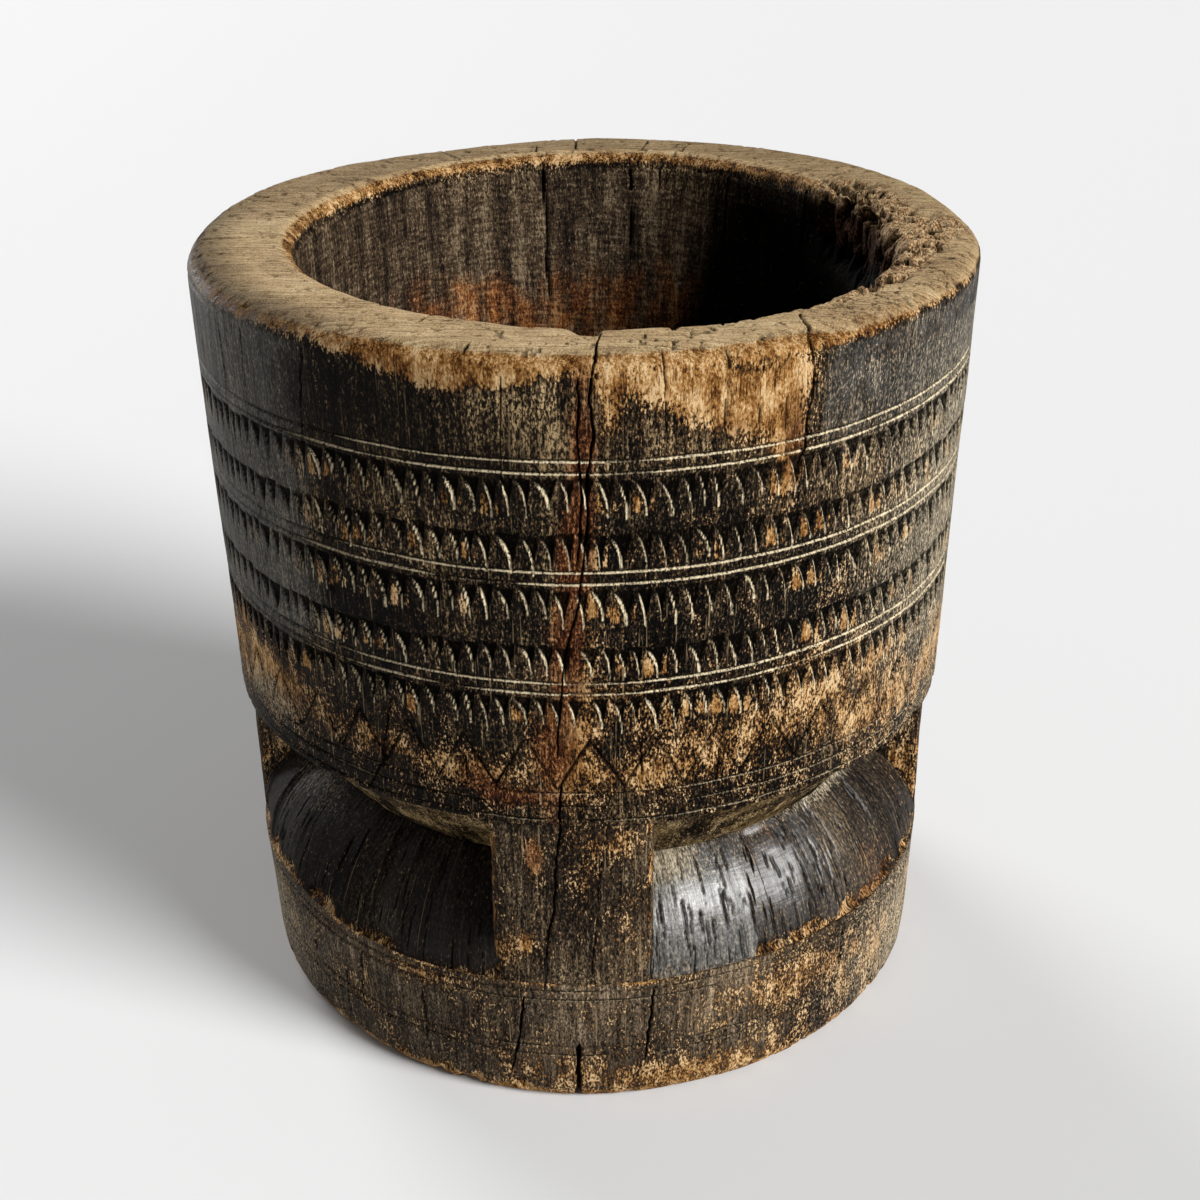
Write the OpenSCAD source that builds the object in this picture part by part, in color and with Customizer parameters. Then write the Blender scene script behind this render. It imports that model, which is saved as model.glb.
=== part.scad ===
// Carved wooden mortar: a deep bowl on a waisted foot, all worked from one log.
// The axis of the log is Z. The origin is the centre of the flat face that it stands on.
// Sizes are in millimetres.
//
// From the top down: the worn rim, a plain collar, three bands of gouged notches, a band of
// zigzag, the floor of the bowl, the waist, the sloping skirt and the foot. Four square
// struts, left standing between cut-away windows, tie the edge of the bowl to the foot.

/* [Bowl wall] */
// Height of the top of the rim above the ground
rim_z = 341; // [325:1:355]
// Outside radius of the wall, measured down to the ground line
wall_r = 158.2; // [150:0.1:165]
// Outward lean of the wall, radius gained per height
wall_lean = 0.019; // [0:0.001:0.03]
// Radius of the worn outer corner of the rim
rim_round = 9; // [3:0.5:12]
// Radius of the worn inner corner of the rim
mouth_round = 7; // [3:0.5:10]
// Height where the worn rim gives way to the plain collar
collar_z = 322; // [315:1:328]

/* [Hollow] */
// Radius of the hollow at its mouth
mouth_r = 127; // [115:1:132]
// Radius of the hollow where its wall turns into the floor
shoulder_r = 115; // [100:1:120]
// Height of the lowest point of the hollow
floor_z = 151; // [147:1:156]

/* [Carved lines] */
// Width of one incised line
line_w = 2; // [1:0.1:3]
// Depth of one incised line
line_d = 1.3; // [0.5:0.1:2]
// Height of the upper line of the pair under the collar
line_1 = 300.8; // [292:0.1:310]
// Height of the upper line of the pair between notch rows two and three
line_2 = 257.3; // [250:0.1:265]
// Height of the upper line of the pair between notch rows four and five
line_3 = 211.1; // [205:0.1:218]
// Height of the upper line of the three at the edge of the bowl
line_4 = 160.9; // [159:0.1:165]
// Gap between the two lines of a pair
pair_gap = 4.7; // [3:0.1:6]
// Gap between the three lines at the edge of the bowl
triple_gap = 6.2; // [5:0.1:7]

/* [Notches] */
// Number of notches in one row round the bowl
notch_count = 145; // [100:1:170]
// Height of one notch
notch_h = 14; // [10:0.5:14.5]
// Depth of a notch at its lower point
notch_d = 1.8; // [0.8:0.1:2.2]
// Where the lower point of a notch lies across its width, 0 left and 1 right
notch_lean = 0.66; // [0.3:0.01:0.7]
// Plain strip between a row of notches and the nearest line
notch_gap = 1.6; // [1.2:0.1:2.5]

/* [Zigzag] */
// Height where the last row of notches ends and the zigzag starts
zigzag_z = 187; // [186:0.5:188]
// Number of teeth of the zigzag round the bowl
zigzag_count = 42; // [30:1:60]
// Width of one cut of the zigzag
stroke_w = 1.4; // [0.8:0.1:2]
// Depth of one cut of the zigzag
stroke_d = 1; // [0.5:0.1:1.5]
// Plain strip above and below the zigzag
zigzag_gap = 2; // [1.5:0.1:3]

/* [Waist and struts] */
// Height of the lower edge of the bowl
edge_z = 144.5; // [142:0.5:146]
// Outside radius at the lower edge of the bowl
edge_r = 156.5; // [150:0.5:158]
// Height of the narrowest place
waist_z = 108.5; // [95:0.5:120]
// Radius of the narrowest place
waist_r = 127; // [105:1:135]
// How far the skirt swells out from a straight cone
skirt_swell = 5; // [1:0.5:8]
// Width of each strut
strut_w = 65; // [40:1:80]
// Radius of the curved outer face of the struts
strut_r = 157; // [156.8:0.1:158]

/* [Foot] */
// Height of the foot
foot_z = 64; // [60:1:75]
// Outside radius of the foot at its top edge
foot_r = 157.5; // [157:0.5:160]
// Outside radius of the foot where its bottom corner starts to wear away
foot_low_r = 155.8; // [152:0.1:158]
// Radius of the flat face that the foot stands on
sole_r = 150; // [140:1:153]
// Height of the worn bottom corner of the foot
sole_bevel = 9; // [4:0.5:14]
// Height of the upper line of the pair near the top of the foot
foot_line_1 = 60; // [57:0.1:61]
// Height of the upper line of the pair low on the foot
foot_line_2 = 30.2; // [26:0.1:40]

/* [Hidden] */

// Height where the side of the hollow turns into its rounded floor
shoulder_z = line_3;
// Straight steps along a rounded corner, along the floor of the hollow and down the skirt
corner_steps = 6;
floor_steps = 8;
skirt_steps = 8;
// Overlap of a cutting tool past the face that it cuts
slack = 1;
// How far a notch's prism stands out of the wall
notch_clear = 4;

$fn = 96;

wood_dark = [0.16, 0.13, 0.11];
wood_brown = [0.27, 0.19, 0.12];
wood_tan = [0.58, 0.46, 0.33];
wood_grey = [0.30, 0.29, 0.27];

// Outside radius of the bowl wall at a height
function outer_r(z) = wall_r + wall_lean * z;

// Outside radius of the foot at a height
function foot_side_r(z) =
    foot_low_r + (foot_r - foot_low_r) * (z - sole_bevel) / (foot_z - sole_bevel);

// Radius of the hollow at a height: a slow taper, then a quarter of an ellipse
function hollow_r(z) = z >= shoulder_z
    ? shoulder_r + (mouth_r - shoulder_r) * (z - shoulder_z) / (rim_z - shoulder_z)
    : shoulder_r * sqrt(1 - pow((shoulder_z - z) / (shoulder_z - floor_z), 2));

// Points of one V-shaped line at height z, as far as they lie between two heights
function line_points(z, side_r, low, high) = [
    for (step = [-1, 0, 1])
        let (point_z = z + step * line_w / 2)
            if (point_z >= low && point_z <= high)
                [side_r - (step == 0 ? line_d : 0), point_z]
];

// Points down the hollow from one height to another
function hollow_points(high, low, steps) = [
    for (i = [0:steps])
        let (z = high + (low - high) * i / steps) [hollow_r(z), z]
];

// Points of a rounded corner of radius r about a centre, from one angle to another
function corner_points(centre, r, from, to) = [
    for (i = [0:corner_steps])
        let (a = from + (to - from) * i / corner_steps)
            centre + r * [cos(a), sin(a)]
];

// Ring of the bowl wall between two heights; an end that has no line is square
module wall_ring(low, high, lines, hollow_steps) {
    cut = [for (z = lines) each line_points(z, outer_r(z), low, high)];
    start = cut[0][1] > low ? [[outer_r(low), low]] : [];
    end = cut[len(cut) - 1][1] < high ? [[outer_r(high), high]] : [];
    rotate_extrude()
        polygon(concat(start, cut, end, hollow_points(high, low, hollow_steps)));
}

// One notch facing -Y, hanging from the origin: a leaning triangle whose floor slopes from
// the surface at its top edge down to its lower point
module notch(width) {
    rotate([asin(notch_d / notch_h), 0, 0])
        rotate([90, 0, 0])
            linear_extrude(height = notch_clear)
                polygon([
                    [-width / 2, 0],
                    [width / 2, 0],
                    [width * (notch_lean - 0.5), -notch_h]
                ]);
}

// Row of notches all round the bowl, hanging from a height
module notch_row(top_z) {
    r = outer_r(top_z);
    width = 2 * PI * r / notch_count;
    for (i = [0:notch_count - 1])
        rotate([0, 0, 360 * i / notch_count])
            translate([0, -r, top_z])
                notch(width);
}

// One straight V cut of the zigzag, centred on -Y, that rises across an angle and stops
// short of the next cut at both of its ends
module stroke(angle, low, high) {
    r = outer_r((low + high) / 2);
    across = 2 * r * sin(angle / 2);
    rise = high - low;
    translate([0, -r, (low + high) / 2])
        rotate([0, atan2(across, rise), 0])
            linear_extrude(height = norm([across, rise]) - 4 * stroke_w, center = true)
                polygon([[-stroke_w, -stroke_d], [stroke_w, -stroke_d], [0, stroke_d]]);
}

// Zigzag all round the bowl between two heights
module zigzag(low, high) {
    half_tooth = 180 / zigzag_count;
    for (i = [0:zigzag_count - 1], side = [0, 1])
        rotate([0, 0, (2 * i + side) * half_tooth])
            mirror([side, 0, 0])
                stroke(half_tooth, low, high);
}

// Swollen cone between the foot and the waist
module skirt_shape() {
    run = [waist_r - edge_r, waist_z - foot_z];
    outward = [run[1], -run[0]] / norm(run);
    side = [
        for (i = [0:skirt_steps])
            let (t = i / skirt_steps)
                [edge_r, foot_z] + t * run + 4 * t * (1 - t) * skirt_swell * outward
    ];
    rotate_extrude()
        polygon(concat([[0, foot_z]], side, [[0, waist_z]]));
}

// Cone under the bowl, from the waist up to the lower edge of the bowl
module waist_shape() {
    translate([0, 0, waist_z])
        cylinder(h = edge_z - waist_z, r1 = waist_r, r2 = edge_r);
}

// Square strut, standing between the foot and the edge of the bowl, facing -Y
module strut() {
    difference() {
        intersection() {
            translate([-strut_w / 2, -strut_r - slack, foot_z])
                cube([strut_w, strut_r + slack - waist_r / 2, edge_z - foot_z]);
            translate([0, 0, foot_z])
                cylinder(h = edge_z - foot_z, r = strut_r);
        }
        skirt_shape();
        waist_shape();
    }
}

module rim() {
    outside = outer_r(rim_z);
    color(wood_tan)
        rotate_extrude()
            polygon(concat(
                [[outer_r(collar_z), collar_z]],
                corner_points([outside - rim_round, rim_z - rim_round], rim_round, 0, 90),
                corner_points([mouth_r + mouth_round, rim_z - mouth_round], mouth_round, 90, 180),
                [[hollow_r(collar_z), collar_z]]
            ));
}

module plain_collar() {
    color(wood_brown) wall_ring(line_1, collar_z, [line_1], 1);
}

module upper_notch_band() {
    color(wood_dark)
        difference() {
            wall_ring(line_2, line_1, [line_2, line_1 - pair_gap, line_1], 1);
            notch_row(line_1 - pair_gap - notch_gap);
            notch_row(line_2 + notch_gap + notch_h);
        }
}

module middle_notch_band() {
    color(wood_dark)
        difference() {
            wall_ring(line_3, line_2, [line_3, line_2 - pair_gap, line_2], 1);
            notch_row(line_2 - pair_gap - notch_gap);
            notch_row(line_3 + notch_gap + notch_h);
        }
}

module lower_notch_band() {
    color(wood_dark)
        difference() {
            wall_ring(zigzag_z, line_3, [line_3 - pair_gap, line_3], floor_steps);
            notch_row(line_3 - pair_gap - notch_gap);
        }
}

module zigzag_band() {
    color(wood_brown)
        difference() {
            wall_ring(line_4, zigzag_z, [line_4], floor_steps);
            zigzag(line_4 + zigzag_gap, zigzag_z - zigzag_gap);
        }
}

module bowl_floor() {
    lines = [line_4 - 2 * triple_gap, line_4 - triple_gap, line_4];
    side = [for (z = lines) each line_points(z, outer_r(z), edge_z, line_4)];
    color(wood_brown)
        rotate_extrude()
            polygon(concat(
                [[0, edge_z], [edge_r, edge_z]],
                side,
                hollow_points(line_4, floor_z, floor_steps)
            ));
}

module waist() {
    color(wood_grey) waist_shape();
}

module skirt() {
    color(wood_grey) skirt_shape();
}

module foot() {
    lines = [
        foot_line_2 - pair_gap, foot_line_2, foot_line_1 - pair_gap, foot_line_1
    ];
    side = [for (z = lines) each line_points(z, foot_side_r(z), sole_bevel, foot_z)];
    color(wood_dark)
        rotate_extrude()
            polygon(concat(
                [[0, 0], [sole_r, 0], [foot_low_r, sole_bevel]],
                side,
                [[foot_r, foot_z], [0, foot_z]]
            ));
}

module strut_front() {
    color(wood_dark) strut();
}

module strut_right() {
    color(wood_dark) rotate([0, 0, 90]) strut();
}

module strut_back() {
    color(wood_dark) rotate([0, 0, 180]) strut();
}

module strut_left() {
    color(wood_dark) rotate([0, 0, 270]) strut();
}

rim();
plain_collar();
upper_notch_band();
middle_notch_band();
lower_notch_band();
zigzag_band();
bowl_floor();
waist();
skirt();
foot();
strut_front();
strut_right();
strut_back();
strut_left();
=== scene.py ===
"""Looks of a carved wooden mortar: a deep bowl on a waisted foot, all worked from one log.

Lengths are in millimetres until a mesh is made, and azimuths in degrees: 0 faces -Y, 90 faces +X.
Each CAD node gets one detailed piece, a closed skin of points pushed in and out by the carving.
"""

import functools
import math

import bpy
import numpy as np
from mathutils import Matrix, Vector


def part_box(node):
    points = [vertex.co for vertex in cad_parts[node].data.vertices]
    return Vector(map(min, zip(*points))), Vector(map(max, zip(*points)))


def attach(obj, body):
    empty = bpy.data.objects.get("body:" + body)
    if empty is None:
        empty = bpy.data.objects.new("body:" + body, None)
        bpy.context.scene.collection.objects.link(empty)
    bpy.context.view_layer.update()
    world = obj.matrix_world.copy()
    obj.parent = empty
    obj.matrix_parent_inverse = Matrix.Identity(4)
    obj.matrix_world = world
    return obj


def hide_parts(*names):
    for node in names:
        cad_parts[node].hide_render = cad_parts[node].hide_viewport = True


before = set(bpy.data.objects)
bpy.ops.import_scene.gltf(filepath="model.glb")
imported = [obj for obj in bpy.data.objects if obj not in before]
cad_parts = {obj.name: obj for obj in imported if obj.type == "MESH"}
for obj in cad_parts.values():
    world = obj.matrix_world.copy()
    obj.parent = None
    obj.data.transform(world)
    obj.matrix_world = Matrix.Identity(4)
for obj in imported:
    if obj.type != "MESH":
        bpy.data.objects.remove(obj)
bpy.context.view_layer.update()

MM = 0.001
DEG = math.pi / 180
# Random values repeat after this many cells of noise; the last number of each noise is its seed
LATTICE = 64
# Layers in rough noise
OCTAVES = 3


def low_z(node):
    """Height of a CAD node's lowest point."""
    return round(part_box(node)[0].z / MM, 1)


def half_width(node):
    """Largest radius of a CAD node that is round about the axis."""
    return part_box(node)[1].x / MM


# Heights where one piece ends and the next begins
RIM_Z = round(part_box("rim")[1].z / MM, 1)
COLLAR_Z = low_z("rim")
LINE_1 = low_z("plain_collar")
LINE_2 = low_z("upper_notch_band")
LINE_3 = low_z("middle_notch_band")
ZIGZAG_Z = low_z("lower_notch_band")
LINE_4 = low_z("zigzag_band")
EDGE_Z = low_z("bowl_floor")
WAIST_Z = low_z("waist")
FOOT_Z = low_z("skirt")

# Bowl wall
RIM_R = half_width("rim")
WALL_LEAN = 0.019
RIM_ROUND = 9
MOUTH_ROUND = 7
EDGE_R = half_width("waist")

# Hollow
MOUTH_R = 127
SHOULDER_R = 115
FLOOR_Z = 151
# How far the mouth departs from a circle: azimuth, outward shift; it fades out down the hollow
SHIFT_Z = 230
MOUTH_SHIFT = (
    (-159, 0), (-116, -8), (-76, -5), (-43, -4), (-19, 0), (5, 6), (22, 9.5), (38, 9),
    (55, 6), (78, 4.5), (92, -3), (142, -2), (169, 4),
)

# Carved lines, notches and zigzag
LINE_W = 2
LINE_D = 1.1
PAIR_GAP = 4.7
TRIPLE_GAP = 6.2
NOTCHES = 145
NOTCH_H = 14
NOTCH_D = 2.3
NOTCH_GAP = 1.6
ZIGZAGS = 42
STROKE_W = 1.9
STROKE_D = 1.1
ZIGZAG_GAP = 2
WALL_LINES = (
    LINE_1, LINE_1 - PAIR_GAP, LINE_2, LINE_2 - PAIR_GAP, LINE_3, LINE_3 - PAIR_GAP,
    LINE_4, LINE_4 - TRIPLE_GAP, LINE_4 - 2 * TRIPLE_GAP,
)
NOTCH_TOPS = (
    LINE_1 - PAIR_GAP - NOTCH_GAP, LINE_2 + NOTCH_GAP + NOTCH_H,
    LINE_2 - PAIR_GAP - NOTCH_GAP, LINE_3 + NOTCH_GAP + NOTCH_H,
    LINE_3 - PAIR_GAP - NOTCH_GAP,
)

# Rings of the bowl: piece, node, lowest, highest, step between rows outside and inside, which
# columns are kept inside (every second or fourth), and whether it has the zigzag
RINGS = (
    ("plain_collar_ring", "plain_collar", LINE_1, COLLAR_Z, 0.85, 2.2, 2, False),
    ("upper_notched_ring", "upper_notch_band", LINE_2, LINE_1, 0.85, 2.2, 2, False),
    ("middle_notched_ring", "middle_notch_band", LINE_3, LINE_2, 0.85, 2.2, 4, False),
    ("lower_notched_ring", "lower_notch_band", ZIGZAG_Z, LINE_3, 0.85, 2.2, 4, False),
    ("zigzag_ring", "zigzag_band", LINE_4, ZIGZAG_Z, 0.65, 2, 4, True),
)

# Waist, struts and foot
WAIST_R = 127
SKIRT_SWELL = 5
STRUT_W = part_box("strut_front")[1].x * 2 / MM
STRUT_R = -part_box("strut_front")[0].y / MM
STRUT_ROUND = 2.5
STRUT_ROOT = 14
OUTER_STRUT = 140
FOOT_R = half_width("foot")
FOOT_LOW_R = 155.8
SOLE_R = 150
SOLE_BEVEL = 9
FOOT_LINES = (60, 60 - PAIR_GAP, 30.2, 30.2 - PAIR_GAP)

# A place along the outline is a height on the outside, and from the rim's top edge it goes on
# inwards over the rim, then down the hollow
TOP = RIM_Z
MOUTH_EDGE = TOP + RIM_R - MOUTH_R
# Cracks down the outside and over the rim, each as a path of (azimuth, place), a width and a depth
CRACKS = (
    (((5.4, TOP + 34), (4.9, TOP + 18), (4.3, TOP), (3.6, 324), (3.9, 312), (3.2, 296),
      (3.4, 280), (3.0, 268)), 1.0, 3.5),
    (((3.5, 286), (2.5, 262), (1.6, 244), (0.4, 229), (-0.9, 200), (-1.4, 176)), 0.8, 2.5),
    (((2.4, 334), (1.9, 318), (2.3, 300), (2.2, 276), (1.4, 258)), 0.8, 2),
    (((-1.0, 168), (-1.5, 141), (-2.2, 117), (-3.3, 92), (-4.6, 60)), 0.9, 2.5),
    (((5.4, 146), (5.0, 135), (4.2, 117), (3.5, 87), (2.5, 62)), 0.5, 1.2),
    (((35.9, TOP + 30), (34.2, TOP + 22), (33.8, TOP + 16), (33.2, TOP + 7), (31.8, TOP - 2),
      (32.4, 328), (31.7, 299), (31.2, 286)), 1.2, 3.5),
    (((66, TOP + 19), (64.7, TOP + 9), (61.8, TOP + 2), (59, TOP - 4), (58, 329)), 1.1, 2),
    (((74.8, TOP + 14), (73.1, TOP + 6), (71.6, TOP + 1)), 0.9, 1.5),
    (((9, 336), (9.4, 316)), 0.5, 1.0),
    (((12.6, TOP + 6), (12.4, 334), (13, 306)), 0.5, 1.0),
    (((16.5, 333), (16.2, 312)), 0.4, 0.8),
    (((20.4, TOP + 5), (20.6, 330), (20.1, 298)), 0.5, 1.0),
    (((25.2, 336), (24.8, 304)), 0.5, 1.0),
    (((28.4, 330), (28.9, 292)), 0.5, 1.0),
    (((-16.4, 330), (-15.8, 300)), 0.4, 0.8),
    (((-7.2, 333), (-7.6, 286)), 0.5, 1.0),
    (((-54.8, 336), (-54.4, 300)), 0.9, 1.5),
    (((-48, 334), (-48.3, 306)), 0.8, 1.5),
    (((-35, 335), (-36, 315), (-37, 292)), 0.9, 1.5),
    (((-25.5, 195), (-27.3, 164), (-30.9, 144)), 0.9, 1.5),
    (((-14.2, 182), (-14.6, 160)), 0.7, 1.2),
    (((9.8, 184), (10.1, 164)), 0.7, 1.2),
    (((21.4, 181), (20.8, 158)), 0.8, 1.2),
    (((33.2, 171), (33.0, 146)), 0.8, 1.2),
    (((-7.5, 58), (-8.4, 40), (-10.3, 12)), 1.1, 2),
    (((12.4, 62), (11.6, 40), (10.9, 20)), 1.0, 2),
    (((-24.7, 50), (-24.2, 12)), 0.8, 1.5),
    (((-36.6, 56), (-37.3, 22)), 0.8, 1.5),
    (((-40.9, 40), (-41.4, 10)), 0.8, 1.5),
    (((0.6, 34), (0.2, 18), (0.4, -4)), 2.2, 4),
    (((47, 60), (46.4, 30)), 0.9, 1.5),
    (((63, 330), (63.5, 296), (62.8, 262)), 0.9, 1.6),
    (((96, 338), (95.2, 300), (96.3, 250)), 1.1, 2.2),
    (((118, 190), (117.2, 150)), 0.9, 1.6),
    (((141, 336), (140.2, 306), (141.3, 270)), 1.0, 1.8),
    (((178, 339), (177, 300), (178.4, 240), (177.5, 170)), 1.6, 3),
    (((-152, 332), (-151, 296)), 0.9, 1.5),
    (((-128, 338), (-129, 300), (-127.6, 276)), 1.2, 2),
    (((-98, 200), (-97, 160)), 0.9, 1.6),
    (((-83, TOP + 40), (-81, TOP + 20), (-82, TOP + 2)), 1.5, 1.6),
    (((93, 50), (92, 12)), 1.0, 2),
    (((-170, 56), (-171, 16)), 1.2, 2),
    (((-118, 52), (-117.4, 26)), 1.0, 1.6),
)
# Azimuth where the main crack opens into a notch in the rim
MAIN_CRACK = 4.2
# Short checks across the top of the rim: azimuth, from, to, as distances in from the outside
RIM_CHECKS = (
    (-64, 1, 12), (-22, 22, 34), (-12, 0, 9), (14, 2, 12), (17, 14, 24), (21, 20, 31), (26, 1, 8),
    (42, 12, 27), (49, 8, 20), (58, 2, 30), (71, 3, 18), (88, 0, 14), (112, 4, 30), (128, 10, 34),
    (150, 0, 16), (163, 6, 33), (171, 12, 33), (-176, 4, 34), (-168, 18, 36), (-150, 10, 32),
    (-138, 0, 20), (-121, 20, 42), (-104, 8, 30),
)
# Places where the rim's outer corner is crushed: azimuth, place, reach round, reach inwards, depth
CRUSHED = (
    (34, TOP + 3, 4, 6, 1.6), (-66, TOP, 9, 7, 1.2), (100, TOP + 2, 8, 6, 1.5),
    (-150, TOP + 4, 12, 7, 1.5),
)
# Cracks down the inside of the hollow: azimuth, highest, lowest, width
HOLLOW_CRACKS = (
    (-168.5, 339, 262, 2.0), (172.6, 338, 285, 1.3), (166, 334, 316, 1.0), (150, 337, 280, 1.1),
    (-150, 330, 290, 0.9), (-133, 336, 305, 0.8), (-117, 326, 262, 0.9), (-95, 334, 300, 0.8),
    (128, 336, 250, 1.3), (104, 338, 290, 1.5), (4.5, 338, 250, 1.6), (60, 334, 270, 1.2),
)
# Azimuths with closer columns of points, and how far those reach each way
FINE_ZONES = ((0.5, 6), (32.2, 2.4), (-36, 2), (-48.2, 1.2), (-54.6, 1.2), (-9, 3), (11, 2))
COLUMNS = 1536
EXTRA_COLUMNS = 1.6

# Places where the black skin has worn off: azimuth, height, reach round, reach up, amount
WORN = (
    (29, 327, 4, 8, 0.35), (12, 330, 8, 7, 0.45), (19, 322, 8, 12, 0.55), (25, 314, 5, 12, 0.4),
    (29, 302, 2.0, 22, 0.55), (4, 334, 5, 6, 0.3), (6, 318, 1.6, 12, 0.4), (46, 322, 6, 5, 0.1),
    (-64, 334, 14, 5, 0.3), (2, 245, 2.2, 60, 0.32), (-1, 180, 4, 24, 0.45), (9, 205, 7, 20, 0.22),
    (22, 178, 13, 16, 0.22), (34, 200, 10, 20, 0.15), (47, 185, 11, 22, 0.20),
    (41, 232, 7, 10, 0.14), (56, 165, 14, 12, 0.20), (14, 262, 6, 8, 0.12), (52, 262, 7, 8, 0.14),
    (10, 168, 7, 8, 0.30), (-14, 168, 8, 10, 0.34), (-30, 172, 8, 9, 0.28),
    (-50, 175, 10, 14, 0.42), (-68, 170, 10, 14, 0.32), (-22, 188, 6, 6, 0.12),
    (80, 175, 16, 22, 0.30), (110, 215, 12, 40, 0.16), (140, 170, 22, 18, 0.28),
    (172, 180, 14, 26, 0.22), (-165, 320, 8, 14, 0.32), (-140, 165, 16, 14, 0.28),
    (-110, 172, 14, 16, 0.26), (-60, 185, 18, 22, 0.16), (-28, 316, 16, 14, -0.12),
    (48, 285, 16, 26, 0.12), (-4, 20, 12, 12, 0.18), (18, 10, 18, 9, 0.32), (36, 44, 12, 12, 0.20),
    (58, 30, 12, 18, 0.22), (-40, 30, 10, 14, 0.12), (-58, 38, 8, 20, 0.14), (-25, 58, 8, 5, 0.28),
    (90, 40, 18, 18, 0.20), (128, 30, 16, 20, 0.28), (170, 44, 16, 18, 0.24),
    (-150, 28, 18, 20, 0.28), (-105, 40, 16, 16, 0.26),
)
# Places grey with dust, in the same order; the tall one at the far left is a painted sheen and the
# tall one at the right is painted light on the lit side
DUST_AND_PAINTED_LIGHT = (
    (-94, 250, 16, 120, 0.60), (-54, 168, 12, 14, 0.60), (68, 250, 28, 120, 0.62),
    (70, 30, 28, 40, 0.60), (-70, 30, 26, 40, 0.6), (150, 300, 30, 60, 0.35),
)
# Places where the skin is blackest, in the same order
BLACKEST = ((-22, 308, 22, 20, 0.8), (-9, 292, 10, 13, 0.5), (52, 305, 14, 16, 0.2))
# Reddish stain that ran down beside cracks: azimuth, height, reach round, reach up, amount
STAINS = (
    (2.6, 305, 2.2, 40, 1.0), (1.2, 262, 2.2, 24, 0.9), (0.2, 225, 2.6, 26, 1.0),
    (-1.8, 180, 3.6, 24, 1.0), (-1.5, 145, 2.0, 8, 0.4), (-13, 166, 4, 8, 0.7),
    (-8, 158, 5, 6, 0.7), (-48, 176, 7, 8, 0.4), (-28, 168, 7, 8, 0.4), (30, 300, 2.2, 24, 0.8),
    (22, 310, 4, 7, 0.5), (178, 230, 3, 60, 0.7), (96, 300, 2, 30, 0.5), (-128, 300, 3, 26, 0.5),
)
# Worn places and a stain on the fronts of the struts, in the same order
STRUT_WORN = (
    (-5.4, 127, 1.2, 9, 0.5), (-10, 80, 2, 10, 0.30), (6, 135, 6, 8, 0.3), (9, 90, 3, 20, 0.15),
    (-7, 84, 1.2, 6, 0.5), (2, 118, 2, 12, 0.2),
)
STRUT_STAINS = ((-5.4, 128, 1.5, 10, 1.0),)
# Azimuth where one plank-like split of the skirt stands out, how many drying cracks the skirt has
# and how many of them are close together at its front right
SPLIT = 33
DRYING_CRACKS = 380
CLOSE_CRACKS = 60
# Dusty places of the skirt, with a painted highlight on the bright plank at the front right, and
# places painted darker, the front-left one as painted shade beside the strut; with shares of the
# way down instead of heights
SKIRT_DUST_AND_HIGHLIGHT = (
    (13, 0.08, 9, 0.26, 1.1), (20, 0.5, 10, 0.4, 0.25), (60, 0.0, 22, 0.1, 0.7),
    (-62, 0.2, 14, 0.25, 0.35),
)
SKIRT_DARKENING = ((-18, 0.6, 22, 0.9, 0.75), (110, 0.5, 20, 1, 0.4))


# ---- Small tools -------------------------------------------------------------------------


def smooth(low, high, value):
    """0 at low and 1 at high, with soft ends."""
    t = np.clip((value - low) / (high - low), 0, 1)
    return t * t * (3 - 2 * t)


def between(value, rise, full, fade, end):
    """1 from full to fade, and 0 before rise and past end, with soft sides."""
    return smooth(rise, full, value) * smooth(end, fade, value)


def bell(value, centre, reach):
    """1 at the centre, falling away smoothly on both sides."""
    return np.exp(-(((value - centre) / reach) ** 2))


def turn(azimuth):
    """Azimuth brought to between -180 and 180."""
    return (azimuth + 180) % 360 - 180


def hill(azimuth, height, spots):
    """Sum of smooth hills, each given as azimuth, height, reach round, reach up and amount."""
    total = np.zeros(np.broadcast(azimuth, height).shape)
    for spot_az, spot_z, reach_az, reach_z, amount in spots:
        total += amount * bell(turn(azimuth - spot_az), 0, reach_az) * bell(height, spot_z, reach_z)
    return total


@functools.lru_cache(maxsize=None)
def lattice(seed):
    """Random values from -1 to 1 on the corners of a block of cells."""
    return np.random.default_rng(seed).uniform(-1, 1, (LATTICE,) * 3)


def noise(points, cell, seed):
    """Smooth noise from -1 to 1 over points, in cells of the given size."""
    place = points / np.array(cell, float)
    corner = np.floor(place).astype(int)
    part = place - corner
    part = part * part * (3 - 2 * part)
    values = lattice(seed)
    total = 0
    for dx in (0, 1):
        for dy in (0, 1):
            for dz in (0, 1):
                weight = (
                    np.abs(1 - dx - part[..., 0])
                    * np.abs(1 - dy - part[..., 1])
                    * np.abs(1 - dz - part[..., 2])
                )
                ids = (corner + (dx, dy, dz)) % LATTICE
                total = total + weight * values[ids[..., 0], ids[..., 1], ids[..., 2]]
    return total


def rough_noise(points, cell, seed):
    """Noise with finer and weaker layers added."""
    cell = np.array(cell, float)
    layers = [noise(points, cell / 2**i, seed + i) / 2**i for i in range(OCTAVES)]
    return sum(layers) / (2 - 2 ** (1 - OCTAVES))


def wander(along, cell, seed):
    """Noise along a line."""
    points = np.stack([np.asarray(along, float), np.zeros_like(along), np.zeros_like(along)], -1)
    return noise(points, (cell, 1, 1), seed)


def round_the_axis(azimuth, radius, height):
    """Points at an azimuth, a radius and a height."""
    x = radius * np.sin(azimuth * DEG)
    y = -radius * np.cos(azimuth * DEG)
    return np.stack(np.broadcast_arrays(x, y, height), -1)


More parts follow.
